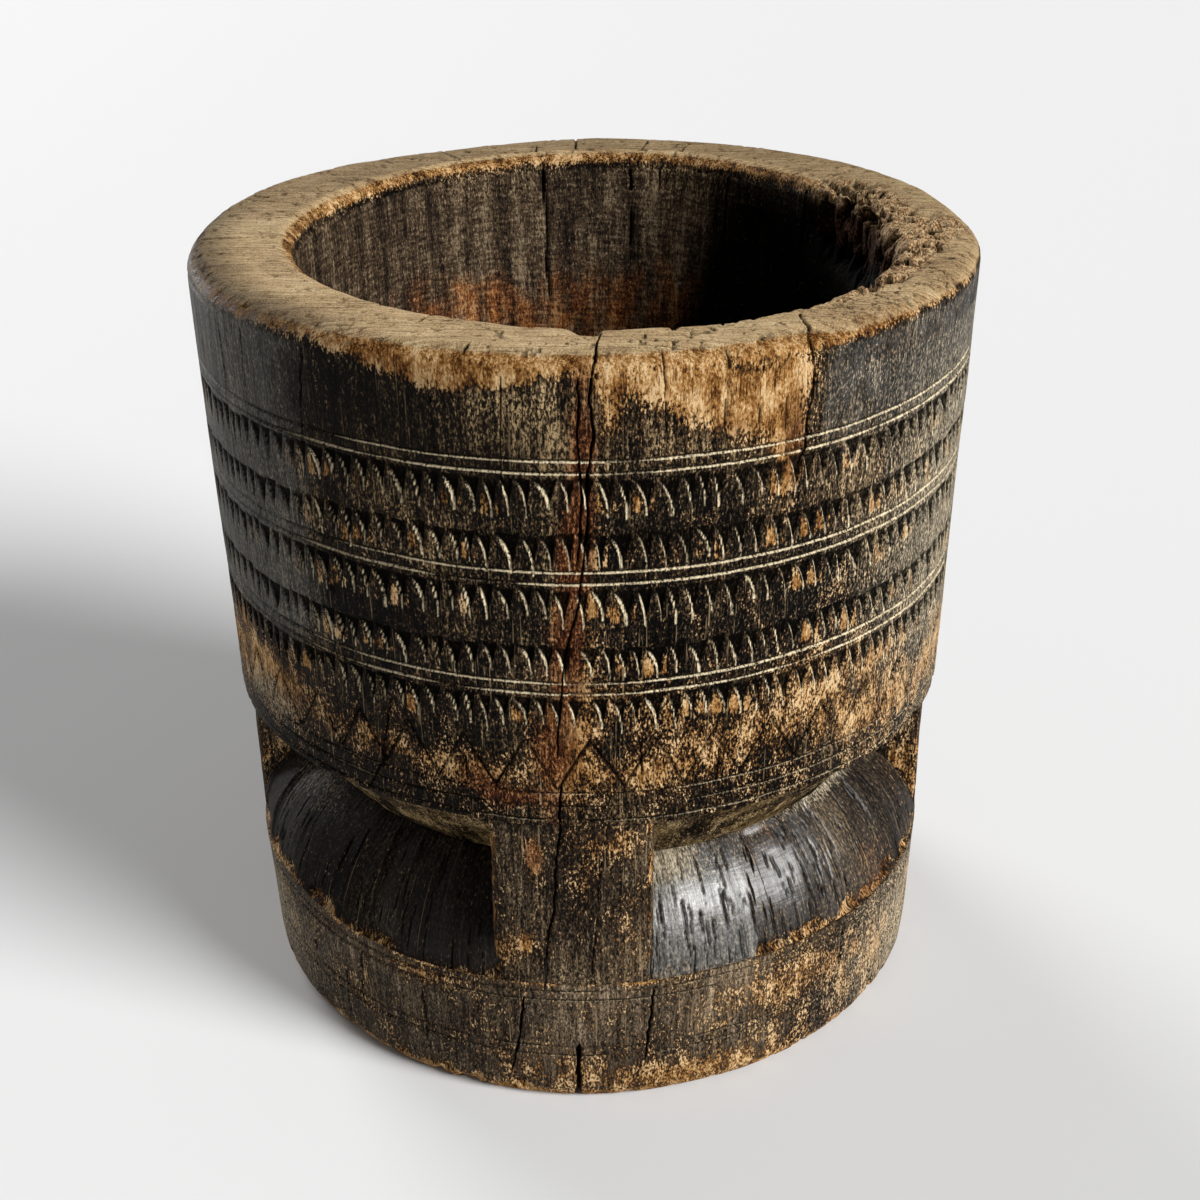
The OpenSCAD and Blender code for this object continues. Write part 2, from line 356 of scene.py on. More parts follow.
def column_azimuths():
    """Azimuths of the columns of points, closer together in the fine zones."""
    fine = np.linspace(-180, 180, 7201)
    density = np.ones_like(fine)
    for centre, reach in FINE_ZONES:
        density += EXTRA_COLUMNS * np.exp(-(((fine - centre) / reach) ** 4))
    total = np.concatenate([[0], np.cumsum((density[1:] + density[:-1]) / 2)])
    return np.interp(np.arange(COLUMNS) / COLUMNS * total[-1], total, fine)


AZIMUTHS = column_azimuths()


def rows_between(low, high, step, lines=()):
    """Heights from low to high, a step apart, with closer ones across each carved line."""
    even = np.linspace(low, high, max(2, math.ceil((high - low) / step)) + 1)
    near = [line + k * LINE_W / 4 for line in lines for k in range(-3, 4)]
    near = [z for z in near if low < z < high]
    clear = [z for z in even[1:-1] if all(abs(z - other) > step / 2 for other in near)]
    return np.array(sorted([low, high] + clear + near))


def outer_r(height):
    """Outside radius of the bowl wall."""
    return RIM_R - WALL_LEAN * (RIM_Z - height)


def foot_side_r(height):
    """Outside radius of the foot above its worn bottom corner."""
    return FOOT_LOW_R + (FOOT_R - FOOT_LOW_R) * (height - SOLE_BEVEL) / (FOOT_Z - SOLE_BEVEL)


def mouth_shift(azimuth):
    """How far the mouth of the hollow is shifted outwards at an azimuth."""
    places, shifts = zip(*MOUTH_SHIFT)
    return np.interp(azimuth, places, shifts, period=360)


def hollow_plain_r(height):
    """Radius of the tapering part of the hollow, before the mouth's shift."""
    return SHOULDER_R + (MOUTH_R - SHOULDER_R) * (height - LINE_3) / (RIM_Z - LINE_3)


def hollow_r(azimuth, height):
    """Radius of the hollow: a slow taper, then a quarter of an ellipse down to its floor."""
    height = np.maximum(height, FLOOR_Z)
    drop = np.clip((LINE_3 - height) / (LINE_3 - FLOOR_Z), 0, 1)
    rounded = SHOULDER_R * np.sqrt(1 - drop**2)
    plain = np.where(height >= LINE_3, hollow_plain_r(height), rounded)
    return plain + mouth_shift(azimuth) * smooth(SHIFT_Z, RIM_Z, height)


# ---- Skins: grids of points round the axis -------------------------------------------------


class Skin:
    """A grid of points round the log: rows follow an outline, columns go round the axis."""

    def __init__(self, radius, height, along=None, every=1, ends=(None, None)):
        self.az = AZIMUTHS[::every][None, :]
        rows = len(height)
        shape = (rows, self.az.shape[1])
        self.z = np.broadcast_to(np.reshape(height, (rows, -1)), shape).astype(float)
        self.r = np.broadcast_to(np.reshape(radius, (rows, -1)), shape).astype(float)
        self.along = self.z if along is None else np.broadcast_to(along[:, None], shape)
        self.base = round_the_axis(self.az, self.r, self.z)
        step_r = np.gradient(self.r, axis=0)
        step_z = np.gradient(self.z, axis=0)
        size = np.hypot(step_r, step_z) + 1e-9
        self.out = step_z / size
        self.up = -step_r / size
        for row, normal in zip((0, -1), ends):
            if normal:
                self.out[row], self.up[row] = normal
        self.push = np.zeros(shape)
        self.marks = {}

    def mark(self, name, amount):
        """Keeps the strongest of the amounts given to a mark at each point."""
        old = self.marks.get(name, np.zeros_like(self.push))
        self.marks[name] = np.maximum(old, np.clip(amount, 0, 1))

    def points(self):
        """The points after carving, with the slow drift of a hand-marked log."""
        r = self.r + self.out * self.push
        z = self.z + self.up * self.push
        steady = between(self.z, 0, 40, RIM_Z - 30, RIM_Z + 1)
        drift = 0.9 * noise(self.base, (70, 70, 55), 5) + 0.25 * noise(self.base, (14, 14, 40), 6)
        return round_the_axis(self.az, r, z + steady * drift)


def uneven(points):
    """The slow in and out of a shape worked by eye."""
    return 0.9 * noise(points, (75, 75, 90), 11) + 0.35 * noise(points, (24, 24, 40), 12)


def fibres(points):
    """Fine ridges that follow the grain up the log."""
    ridges = noise(points, (2.6, 2.6, 45), 21) + 0.6 * noise(points, (1.5, 1.5, 22), 22)
    return 0.10 * ridges + 0.10 * rough_noise(points, (7, 7, 16), 23)


def cut_crack(skin, places, wide, deep, seed, reach=6):
    """A crack that wanders along a path of (azimuth, place along the outline)."""
    azimuths, alongs = zip(*sorted(places, key=lambda place: place[1]))
    centre = np.interp(skin.along, alongs, azimuths)
    jag = 0.7 * wander(skin.along, 11, seed) + 0.35 * wander(skin.along, 2.6, seed + 1)
    offset = turn(skin.az - centre) * DEG * skin.r - jag * min(wide, 1)
    start, end = alongs[0], alongs[-1]
    taper = between(skin.along, start - 1, start + reach, end - reach, end + 1)
    half = wide / 2 * taper * (1 + 0.45 * wander(skin.along, 7, seed + 2)) + 1e-6
    shape = np.clip(1.15 - np.abs(offset) / half, 0, 1)
    skin.push -= deep * taper * shape**0.7
    skin.mark("crack", smooth(0.05, 0.55, shape) * smooth(0, 0.35, taper))


def cut_cracks(skin):
    """All the cracks of the outside that cross this skin."""
    low, high = skin.along.min(), skin.along.max()
    for number, (places, wide, deep) in enumerate(CRACKS):
        alongs = [place[1] for place in places]
        if min(alongs) <= high and max(alongs) >= low:
            cut_crack(skin, places, wide, deep, 300 + 7 * number)


def cut_line(skin, height, dust=1.0):
    """One incised line; it is shallow in places, and its lower side shows pale dust with a painted
    highlight.
    """
    strength = 0.70 + 0.45 * noise(skin.base, (22, 22, 400), 40 + int(height) % 50)
    strength = strength * (1 - 0.45 * smooth(0.35, 0.7, wear(skin)))
    away = (skin.z - height) / (LINE_W / 2)
    skin.push -= LINE_D * strength * np.clip(1 - np.abs(away), 0, 1)
    lower = np.clip(1 - np.abs(away + 0.45) / 0.6, 0, 1)
    caught = smooth(0.35, 0.85, strength + 0.25 * smooth(5, 30, skin.az))
    skin.mark("pale", lower * dust * (0.03 + 0.97 * dust_and_highlight_share(skin)) * caught)
    # Painted shade along the groove
    skin.mark("groove_shade", np.clip(1 - np.abs(away - 0.3), 0, 1) * strength)


def wear(skin):
    """How much of the black skin has worn away at each point of the outside."""
    low_wall = between(skin.z, EDGE_Z - 5, EDGE_Z, 160, 225)
    base = 0.10 + 0.08 * low_wall + 0.10 * between(skin.az, -10, 45, 80, 120)
    base = base + 0.10 * smooth(EDGE_Z, EDGE_Z - 30, skin.z)
    return base + hill(skin.az, skin.z, WORN)


def cut_notches(skin, top, seed):
    """A row of gouged notches: leaning pits with pointed teeth left standing between them."""
    rng = np.random.default_rng(seed)
    steps = skin.az / 360 * NOTCHES + rng.uniform()
    steps = steps + 0.30 * wander(skin.az, 5, seed) + 0.10 * wander(skin.az, 1.7, seed + 1)
    index = np.floor(steps).astype(int) % NOTCHES
    across = steps - np.floor(steps)
    tall = (NOTCH_H * rng.uniform(0.80, 1.06, NOTCHES))[index]
    drop = rng.uniform(-0.9, 0.9, NOTCHES)[index]
    deep = (NOTCH_D * rng.uniform(0.55, 1.1, NOTCHES))[index]
    belly = rng.uniform(0.48, 0.66, NOTCHES)[index]
    down = (top - drop - skin.z) / tall
    inside = np.clip(down, 0, 1.0)
    pitch = 2 * math.pi * skin.r / NOTCHES
    left = belly * np.sin(inside * math.pi / 2)
    right = 1 - (1 - belly - 0.06) * inside**1.3
    floor = deep * inside**0.55 * between(down, 0, 0.05, 0.86, 1.08)
    left_side = (across - left) * pitch * 1.5
    right_side = (right - across) * pitch * 1.2
    depth = np.clip(np.minimum(np.minimum(left_side, right_side), floor), 0, None)
    worn = 1 - 0.35 * smooth(0.3, 0.6, wear(skin))
    skin.push -= depth * worn
    # Pale on the left wall of each pit, which faces the light: pale dust and a painted highlight,
    # strongest on the lit side
    on_left = smooth(1.0, 0.3, np.abs(left_side - 0.45) / 0.9) * smooth(0.0, 0.4, down)
    lit = (left_side > -0.4) & (down < 1.12)
    bright = rng.uniform(0.5, 1.0, NOTCHES)[index] * (0.12 + 0.88 * dust_and_highlight_share(skin))
    skin.mark("pale", np.where(lit, on_left * bright, 0))
    # Painted shade deepening with the pit's depth
    skin.mark("groove_shade", smooth(0.08, 0.55, depth))
    tooth = np.clip(-left_side / 2, 0, 1) + np.clip(-right_side / 2, 0, 1)
    golden = smooth(0.60, 0.9, rng.uniform(0, 1, NOTCHES)[index]) * smooth(0.1, 0.6, inside)
    skin.mark("tooth", tooth * golden * smooth(1.1, 0.9, down))


def cut_zigzag(skin, low, high):
    """Thin V cuts that run up and down round the bowl."""
    rng = np.random.default_rng(71)
    corners = 2 * ZIGZAGS
    ends = np.where(np.arange(corners) % 2 == 0, low, high) + rng.uniform(-1.3, 1.3, corners)
    steps = (turn(skin.az) + 1.2) / 360 * corners + 0.12 * wander(skin.az, 7, 72)
    index = np.floor(steps).astype(int)
    part = steps - index
    here, after = ends[index % corners], ends[(index + 1) % corners]
    run = 2 * math.pi * skin.r / corners
    slope = (after - here) / run
    away = np.abs(skin.z - here - (after - here) * part) / np.sqrt(1 + slope**2)
    within = between(skin.z, low - 1.5, low, high, high + 1.5)
    strength = within * (0.9 + 0.3 * noise(skin.base, (9, 9, 14), 73))
    shape = np.clip(1 - away / (STROKE_W / 2), 0, 1)
    skin.push -= STROKE_D * strength * shape
    # Painted shade along each stroke
    skin.mark("cut", smooth(0.1, 0.7, shape) * strength)


def scatter_pits(skin, seed, count, low, high):
    """Small knocks and holes here and there."""
    rng = np.random.default_rng(seed)
    for _ in range(count):
        az, z = rng.uniform(-180, 180), rng.uniform(low, high)
        wide, tall = rng.uniform(0.8, 2.2), rng.uniform(1.2, 5)
        deep = rng.uniform(0.3, 0.9)
        near = np.abs(turn(skin.az[0] - az)) < 3
        if not near.any():
            continue
        aside = turn(skin.az[:, near] - az) * DEG * skin.r[:, near] / wide
        above = (skin.z[:, near] - z) / tall
        shape = np.clip(1.2 - np.hypot(aside, above), 0, 1)
        skin.push[:, near] -= deep * shape


def outside_marks(skin):
    """Wear, stains, dust and dark places of the outside, with painted light, painted sheen and
    painted shade among them, as the materials read them.
    """
    skin.mark("wear", wear(skin))
    skin.mark("stain", hill(skin.az, skin.z, STAINS))
    # Dust, with painted light in the tall places at the far left and on the lit right
    skin.mark("dust_and_painted_light", hill(skin.az, skin.z, DUST_AND_PAINTED_LIGHT))
    # Painted sheen: smooth grey on the left and weaker at the top right
    skin.mark("painted_sheen", painted_sheen(skin))
    skin.mark("dirt_and_painted_shade", hill(skin.az, skin.z, BLACKEST))


def painted_sheen(skin):
    """Painted sheen: smooth charcoal-grey skin on the left of the bowl, and weaker at the top
    right.
    """
    left = between(skin.az, -165, -90, -47, -31) * smooth(185, 225, skin.z)
    right = 0.44 * between(skin.az, 33.2, 35, 80, 120) * smooth(262, 312, skin.z)
    return np.maximum(left, right) * smooth(RIM_Z - 4, RIM_Z - 10, skin.z)


def dust_and_highlight_share(skin):
    """How well cuts show pale dust with a painted highlight: fully at the lit front and right,
    hardly on the shaded left and back.
    """
    return between(skin.az, -46, -33, 110, 168)


def wall_skin(low, high, step):
    """The carved outside of the bowl between two heights."""
    lines = [line for line in WALL_LINES if low - LINE_W < line < high + LINE_W]
    height = rows_between(low, high, step, lines)
    skin = Skin(outer_r(height), height)
    skin.push += uneven(skin.base) + fibres(skin.base) * smooth(EDGE_Z, EDGE_Z + 2, skin.z)
    for line in lines:
        cut_line(skin, line)
    for row, top in enumerate(NOTCH_TOPS):
        if low < top and top - NOTCH_H * 1.2 < high:
            cut_notches(skin, top, 60 + row)
    scatter_pits(skin, 90, 90, EDGE_Z + 4, COLLAR_Z + 8)
    cut_cracks(skin)
    outside_marks(skin)
    return skin


def hollow_skin(high, low, step, every):
    """The inside of the bowl, from high to low."""
    height = rows_between(low, high, step)[::-1]
    azimuth = AZIMUTHS[::every][None, :]
    skin = Skin(hollow_r(azimuth, height[:, None]), height, every=every)
    finish_hollow(skin)
    return skin


def finish_hollow(skin):
    """Ripples, cracks and marks of the inside of the bowl."""
    skin.push += smooth(FLOOR_Z + 1, FLOOR_Z + 25, skin.z) * hollow_relief(skin)
    cut_hollow_cracks(skin, 1)
    if skin.z.max() > LINE_1:
        crumble(skin, RIM_Z - skin.z)
    skin.mark("inside", np.ones_like(skin.push))
    shade_hollow(skin)


def hollow_relief(skin):
    """Slow waves, ripples left by the blade and fibres of the inside."""
    waves = 0.7 * noise(skin.base, (60, 60, 70), 31) + 0.25 * noise(skin.base, (16, 16, 30), 32)
    ripples = 0.16 * rough_noise(skin.base, (22, 22, 2.4), 33)
    return waves + ripples + 0.10 * noise(skin.base, (3, 3, 60), 34)


def cut_hollow_cracks(skin, share):
    """All the cracks of the hollow that cross this skin, by a share from 0 to 1."""
    for number, (az, high, low, wide) in enumerate(HOLLOW_CRACKS):
        if skin.z.max() >= low and skin.z.min() <= high:
            crack_in_hollow(skin, az, high, low, wide, 500 + 5 * number, share)


def shade_hollow(skin):
    """Rust-coloured wood low down at the back, and painted shade, near black, on the right side."""
    behind = smooth(75, 30, np.abs(turn(skin.az - 190)))
    skin.mark("rust", (0.15 + 0.45 * behind) * smooth(325, 262, skin.z))
    # Painted shade: the right side of the hollow, out of the key light, is marked to turn near
    # black
    azimuth = skin.az + 12 * noise(skin.base, (28, 28, 40), 35)
    skin.mark("hollow_painted_shade", between(azimuth, 20, 60, 148, 172) * smooth(342, 325, skin.z))


def crack_in_hollow(skin, az, high, low, wide, seed, share):
    """A crack straight down the inside."""
    jag = 0.8 * wander(skin.z, 18, seed) + 0.25 * wander(skin.z, 3, seed + 1)
    offset = turn(skin.az - az) * DEG * skin.r - jag
    taper = between(skin.z, low, low + 14, high - 4, high + 2)
    shape = share * np.clip(1.15 - np.abs(offset) / (0.42 * wide * taper + 1e-6), 0, 1)
    skin.push -= 1.8 * wide * taper * shape
    skin.mark("crack", smooth(0.05, 0.6, shape) * smooth(0, 0.3, taper))


# ---- Meshes --------------------------------------------------------------------------------


def quads(first, second):
    """Faces between two rings of point numbers; one ring may be a whole number of times finer."""
    fine, coarse = (first, second) if len(first) >= len(second) else (second, first)
    ratio = len(fine) // len(coarse)
    start = np.arange(len(coarse))
    edge = [fine[(start * ratio + k) % len(fine)] for k in range(ratio + 1)]
    other = [coarse[(start + 1) % len(coarse)], coarse[start]]
    faces = np.stack(edge + other, 1)
    return faces if fine is first else faces[:, ::-1]


def fan(ring, centre, flip):
    """Triangles from a ring to one point."""
    after = np.roll(ring, -1)
    corners = [ring, after, np.full_like(ring, centre)]
    return np.stack(corners[::-1] if flip else corners, 1)


def build_mesh(name, points, faces, marks, rings):
    """A smooth-shaded mesh in metres; edges along the given rings of points are sharp."""
    mesh = bpy.data.meshes.new(name)
    mesh.vertices.add(len(points))
    mesh.vertices.foreach_set("co", (points * MM).astype(np.float32).ravel())
    corners = np.concatenate([part.ravel() for part in faces])
    sizes = np.concatenate([np.full(len(part), part.shape[1]) for part in faces])
    starts = np.concatenate([[0], np.cumsum(sizes)[:-1]])
    mesh.loops.add(len(corners))
    mesh.loops.foreach_set("vertex_index", corners.astype(np.int32))
    mesh.polygons.add(len(sizes))
    mesh.polygons.foreach_set("loop_start", starts.astype(np.int32))
    mesh.polygons.foreach_set("use_smooth", np.ones(len(sizes), bool))
    mesh.update(calc_edges=True)
    mark_sharp(mesh, rings, len(points))
    for mark, values in marks.items():
        layer = mesh.attributes.new(mark, "FLOAT", "POINT")
        layer.data.foreach_set("value", values.astype(np.float32))
    piece = bpy.data.objects.new(name, mesh)
    bpy.context.scene.collection.objects.link(piece)
    return piece


def mark_sharp(mesh, rings, count):
    """Marks the edges that run along each ring."""
    ring_of = np.full(count, -1)
    for number, ring in enumerate(rings):
        ring_of[ring] = number
    ends = np.zeros(len(mesh.edges) * 2, np.int32)
    mesh.edges.foreach_get("vertices", ends)
    first, second = ring_of[ends[::2]], ring_of[ends[1::2]]
    layer = mesh.attributes.new("sharp_edge", "BOOLEAN", "EDGE")
    layer.data.foreach_set("value", (first == second) & (first >= 0))


def turned_piece(name, skins, closed):
    """One closed solid from skins that follow each other round its outline.

    A closed outline comes back to its start, and an open one is closed by a point on the axis
    at each end.
    """
    points, rings, faces = [], [], []
    marks = {mark: [] for skin in skins for mark in skin.marks}
    count = 0
    for skin in skins:
        rows, columns = skin.push.shape
        ids = count + np.arange(rows * columns).reshape(rows, columns)
        points.append(skin.points().reshape(-1, 3))
        for mark, values in marks.items():
            values.append(skin.marks.get(mark, np.zeros_like(skin.push)).ravel())
        faces += [quads(ids[row], ids[row + 1]) for row in range(rows - 1)]
        rings += [ids[0], ids[-1]]
        count += rows * columns
    for k in range(1, len(rings) - 1, 2):
        faces.append(quads(rings[k], rings[k + 1]))
    if closed:
        faces.append(quads(rings[-1], rings[0]))
    else:
        ends = [points[0][0, 2], points[-1][-1, 2]]
        points.append(np.array([[0, 0, ends[0]], [0, 0, ends[1]]]))
        faces += [fan(rings[0], count, True), fan(rings[-1], count + 1, False)]
        for values in marks.values():
            values.append(np.zeros(2))
    marks = {mark: np.concatenate(values) for mark, values in marks.items()}
    return build_mesh(name, np.concatenate(points), faces, marks, rings)


# ---- Pieces --------------------------------------------------------------------------------


def rim_outline():
    """Radius, height, place along and share of the mouth's shift, from the collar inwards."""
    side = rows_between(COLLAR_Z, RIM_Z - RIM_ROUND, 1.0)
    outer = np.linspace(0, 90, 12)[1:] * DEG
    inner = np.linspace(90, 180, 9)[1:] * DEG
    top_out, top_in = RIM_R - RIM_ROUND, MOUTH_R + MOUTH_ROUND
    top = np.linspace(0, 1, 24)[1:]
    down = rows_between(COLLAR_Z, RIM_Z - MOUTH_ROUND, 1.2)[::-1][1:]
    radius = np.concatenate([
        outer_r(side), top_out + RIM_ROUND * np.cos(outer), top_out + (top_in - top_out) * top,
        top_in + MOUTH_ROUND * np.cos(inner), hollow_plain_r(down),
    ])
    height = np.concatenate([
        side, RIM_Z - RIM_ROUND + RIM_ROUND * np.sin(outer), np.full(len(top), RIM_Z),
        RIM_Z - MOUTH_ROUND + MOUTH_ROUND * np.sin(inner), down,
    ])
    share = np.concatenate([
        np.zeros(len(side) + len(outer)), top, np.ones(len(inner) + len(down)),
    ])
    return radius, height, share


def make_rim():
    """The worn rim: tan and grey on top, golden at its corners, crumbled on one side."""
    radius, height, share = rim_outline()
    shift = mouth_shift(AZIMUTHS)[None, :] * smooth(SHIFT_Z, RIM_Z, height)[:, None]
    radii = radius[:, None] + share[:, None] * shift
    along = np.where(height < RIM_Z - RIM_ROUND, height, RIM_Z + RIM_R - radius)
    on_corner = (height < RIM_Z) & (share == 0) & (height > RIM_Z - RIM_ROUND)
    along[on_corner] = RIM_Z - RIM_ROUND + np.linspace(0, 2 * RIM_ROUND, on_corner.sum() + 1)[1:]
    going_down = (share == 1) & (height < RIM_Z)
    along[going_down] = MOUTH_EDGE + RIM_Z - height[going_down]
    skin = Skin(radii, height, along)
    topness = smooth(0.25, 0.9, skin.up)
    inside = (share == 1)[:, None] * smooth(0.5, 0.1, skin.up)
    outside = (share == 0)[:, None] * (1 - topness)
    skin.push += outside * uneven(skin.base) + fibres(skin.base) * (1 - 0.6 * topness)
    skin.push += inside * hollow_relief(skin)
    wear_down_rim(skin, topness)
    cut_cracks(skin)
    for number, (az, start, end) in enumerate(RIM_CHECKS):
        path = ((az, TOP + start), (az + 1.2 * wander(np.array(az), 3, 8), TOP + end))
        cut_crack(skin, path, 1.2, 1.8, 700 + 3 * number, reach=3)
    cut_hollow_cracks(skin, inside)
    crumble(skin, skin.along - MOUTH_EDGE)
    mark_rim(skin)
    return turned_piece("worn_rim", [skin], closed=True)


def wear_down_rim(skin, topness):
    """Dips, a notch where the main crack opens, and the uneven top."""
    top = 0.8 * noise(skin.base, (60, 60, 60), 51) + 0.3 * noise(skin.base, (15, 15, 15), 52)
    lines = noise(skin.base, (26, 2.2, 26), 53) + 0.5 * noise(skin.base, (16, 1.1, 16), 54)
    skin.push += topness * (top - 0.8 + 0.16 * lines)
    side = turn(skin.az - MAIN_CRACK)
    dip = np.where(side < 0, bell(side, 0, 2.6), bell(side, 0, 0.9))
    inner_edge = between(skin.along, TOP + 22, TOP + 34, TOP + 42, TOP + 56)
    skin.push -= 4.5 * dip * inner_edge
    skin.push -= hill(skin.az, skin.along, CRUSHED)
    spots = noise(skin.base, (4, 3, 4), 60) * noise(skin.base, (1.8, 1.5, 3), 61) * 3
    spots = smooth(0.35, 0.6, spots)
    skin.push -= 0.7 * spots * topness
    # Painted shade in the small dips
    skin.mark("groove_shade", 0.5 * spots * topness)


def crumble(skin, past):
    """The edge of the mouth that has rotted and crumbled away on the right.

    Past is how far a point is beyond the mouth's edge: negative on the rim's top, and downwards
    in the hollow.
    """
    zone = between(skin.az, 30, 66, 116, 130)
    band = between(past, -22, -8, 10, 32)
    scoop = between(skin.az, 88, 100, 120, 130) * between(past, -12, 2, 22, 40)
    gap = hill(skin.az, past, ((90, -25, 5, 12, 1.0), (82, -15, 7, 8, 0.9), (70, -14, 6, 5, 0.7)))
    broken = np.clip(np.maximum(np.maximum(zone * band, scoop), gap), 0, 1)
    rot = rough_noise(skin.base, (8, 5, 13), 55) + 0.45 * noise(skin.base, (2.4, 2.2, 5), 56)
    pits = smooth(-0.05, 0.25, rot)
    splinters = noise(skin.base, (1.6, 3.0, 7), 59)
    skin.push -= broken * (5.0 * pits + 0.5 + 0.9 * splinters) + 3 * scoop
    skin.mark("rot", broken * 1.3 * smooth(17, 3, past))
    # Painted shade in the pits and splinters, deepening down into the hollow
    deep = smooth(0, 13, past)
    skin.mark("groove_shade", broken * np.maximum(smooth(0.25, 0.7, pits + 0.45 * splinters), deep * 0.6))
    skin.mark("stain", broken * 0.8 * between(past, 0, 8, 18, 34))
    small = between(skin.az, 10, 16, 24, 30) * between(past, -13, -5, 2, 8)
    skin.push -= 1.6 * small * smooth(0.1, 0.4, rot)


def mark_rim(skin):
    """Bare grey-tan wood on top, golden wood round both corners, a ragged edge to the black, and
    painted shade over the top towards the back and at the left corner.
    """
    streak = 0.5 * noise(skin.base, (3.5, 3.5, 30), 57) + noise(skin.base, (11, 11, 40), 58)
    outside = skin.along < TOP + RIM_ROUND
    hang = 7 * bell(turn(skin.az + 14), 0, 9)
    thin = between(skin.az, -120, -90, -34, -22) + smooth(32, 60, np.abs(skin.az))
    fringe = RIM_Z - 8 - hang + 2.0 * streak + 3 * np.minimum(thin, 1)
    golden = 0.9 * smooth(fringe - 6, fringe + 5, skin.z)
    inner_fringe = RIM_Z - 7 + 1.0 * streak
    golden_in = 0.6 * smooth(inner_fringe - 3, inner_fringe + 3, skin.z)
    skin.mark("wear", np.where(outside, np.maximum(golden, wear(skin)), golden_in))
    golden_edge = smooth(14, 3, skin.along - TOP) * bell(skin.az, 50, 26)
    round_corner = 0.4 * between(skin.az, 32, 40, 115, 140)
    steepest = 0.6 - round_corner * outside
    skin.mark("bare", smooth(steepest, steepest + 0.38, skin.up) - 0.35 * golden_edge)
    # Painted shade: the rim's top darker towards the back and at its outer left corner
    behind = smooth(60, 150, np.abs(skin.az))
    left_corner = between(skin.az, -125, -80, -45, -20)
    left_corner = left_corner * smooth(TOP + 2.4 * RIM_ROUND, TOP + 6, skin.along)
    upper = smooth(RIM_Z - 9, RIM_Z - 3, skin.z) * (skin.along < MOUTH_EDGE)
    skin.mark("dirt_and_painted_shade", (0.40 * behind + 0.7 * left_corner) * upper)
    tanned = 0.6 * between(skin.az, -110, -75, -26, -10) * smooth(0.9, 0.5, skin.up)
    skin.mark("stain", np.where(outside, hill(skin.az, skin.z, STAINS) + tanned * golden, 0))
    # Painted sheen on the outer side of the rim
    skin.mark("painted_sheen", np.where(outside, painted_sheen(skin), 0))
    skin.mark("dirt_and_painted_shade", np.where(outside, hill(skin.az, skin.z, BLACKEST), 0))
    inside = (skin.along > MOUTH_EDGE) * smooth(0.3, 0, skin.up)
    skin.mark("inside", inside)
    shade_hollow(skin)
    skin.marks["rust"] *= inside
    skin.marks["hollow_painted_shade"] *= inside


def make_ring(name, low, high, step, inner_step, every, zigzag):
    """A ring of the bowl: carved outside and plain hollow."""
    outside = wall_skin(low, high, step)
    if zigzag:
        cut_zigzag(outside, low + ZIGZAG_GAP, high - ZIGZAG_GAP)
    inside = hollow_skin(high, low, inner_step, every)
    return turned_piece(name, [outside, inside], closed=True)


def make_bowl_floor():
    """The edge of the bowl, with three lines round it, and the floor of the hollow."""
    lines = [line for line in WALL_LINES if line <= LINE_4]
    height = rows_between(EDGE_Z + 1.5, LINE_4, 0.8, lines)
    bevel = np.array([EDGE_Z, EDGE_Z + 0.4, EDGE_Z + 0.9])
    radius = np.concatenate([EDGE_R + np.array([0, 2.2, 3.4]), outer_r(height)])
    outside = Skin(radius, np.concatenate([bevel, height]), ends=((1, 0), None))
    outside.push += uneven(outside.base)
    outside.push += fibres(outside.base) * smooth(EDGE_Z, EDGE_Z + 2, outside.z)
    for line in lines:
        cut_line(outside, line, dust=0.45)
    chips = rough_noise(outside.base, (6, 6, 4), 95)
    outside.push -= 1.6 * smooth(0.15, 0.5, chips) * smooth(EDGE_Z + 5, EDGE_Z, outside.z)
    cut_cracks(outside)
    outside_marks(outside)
    floor_angles = np.linspace(0, 1, 18)[:-1]
    height = FLOOR_Z + (LINE_4 - FLOOR_Z) * (1 - floor_angles) ** 2
    azimuth = AZIMUTHS[::4][None, :]
    inside = Skin(hollow_r(azimuth, height[:, None]), height, every=4, ends=(None, (0, 1)))
    finish_hollow(inside)
    return turned_piece("bowl_floor_and_edge", [outside, inside], closed=False)


def make_waist():
    """The rough cone under the bowl."""
    part = np.linspace(0, 1, 38)
    height = WAIST_Z + (EDGE_Z - WAIST_Z) * part
    radius = WAIST_R + (EDGE_R - WAIST_R) * part
    skin = Skin(radius, height, every=2, ends=((1, 0), (1, 0)))
    clear = between(skin.z, WAIST_Z, WAIST_Z + 3, EDGE_Z - 2, EDGE_Z)
    tooling = 0.9 * noise(skin.base, (9, 9, 14), 81) + 0.4 * rough_noise(skin.base, (3, 3, 5), 82)
    skin.push += uneven(skin.base) + clear * tooling
    skin.marks["round_way"] = skin.az * 2.5 + 0 * skin.push
    skin.marks["down_way"] = skin.z * 1.3
    skin.mark("wear", 0.46 + 0.3 * noise(skin.base, (12, 12, 12), 83))
    # Painted shade in the hollows of the tooling
    skin.mark("groove_shade", 0.5 * smooth(0.1, -0.6, tooling))
    return turned_piece("rough_waist", [skin], closed=False)


def skirt_outline(part, azimuth):
    """Radius and height down the skirt, fuller close to the struts."""
    run = np.array([EDGE_R - WAIST_R, FOOT_Z - WAIST_Z])
    out, up = -run[1] / np.hypot(*run), run[0] / np.hypot(*run)
    aside = np.abs((azimuth + 45) % 90 - 45)
    near_strut = 13 * bell(aside, 8, 12)
    bulge = 4 * part * (1 - part) * SKIRT_SWELL + near_strut * part * (1 - part) ** 0.7
    radius = WAIST_R + run[0] * part + out * bulge
    height = WAIST_Z + run[1] * part + up * bulge
    return radius, height


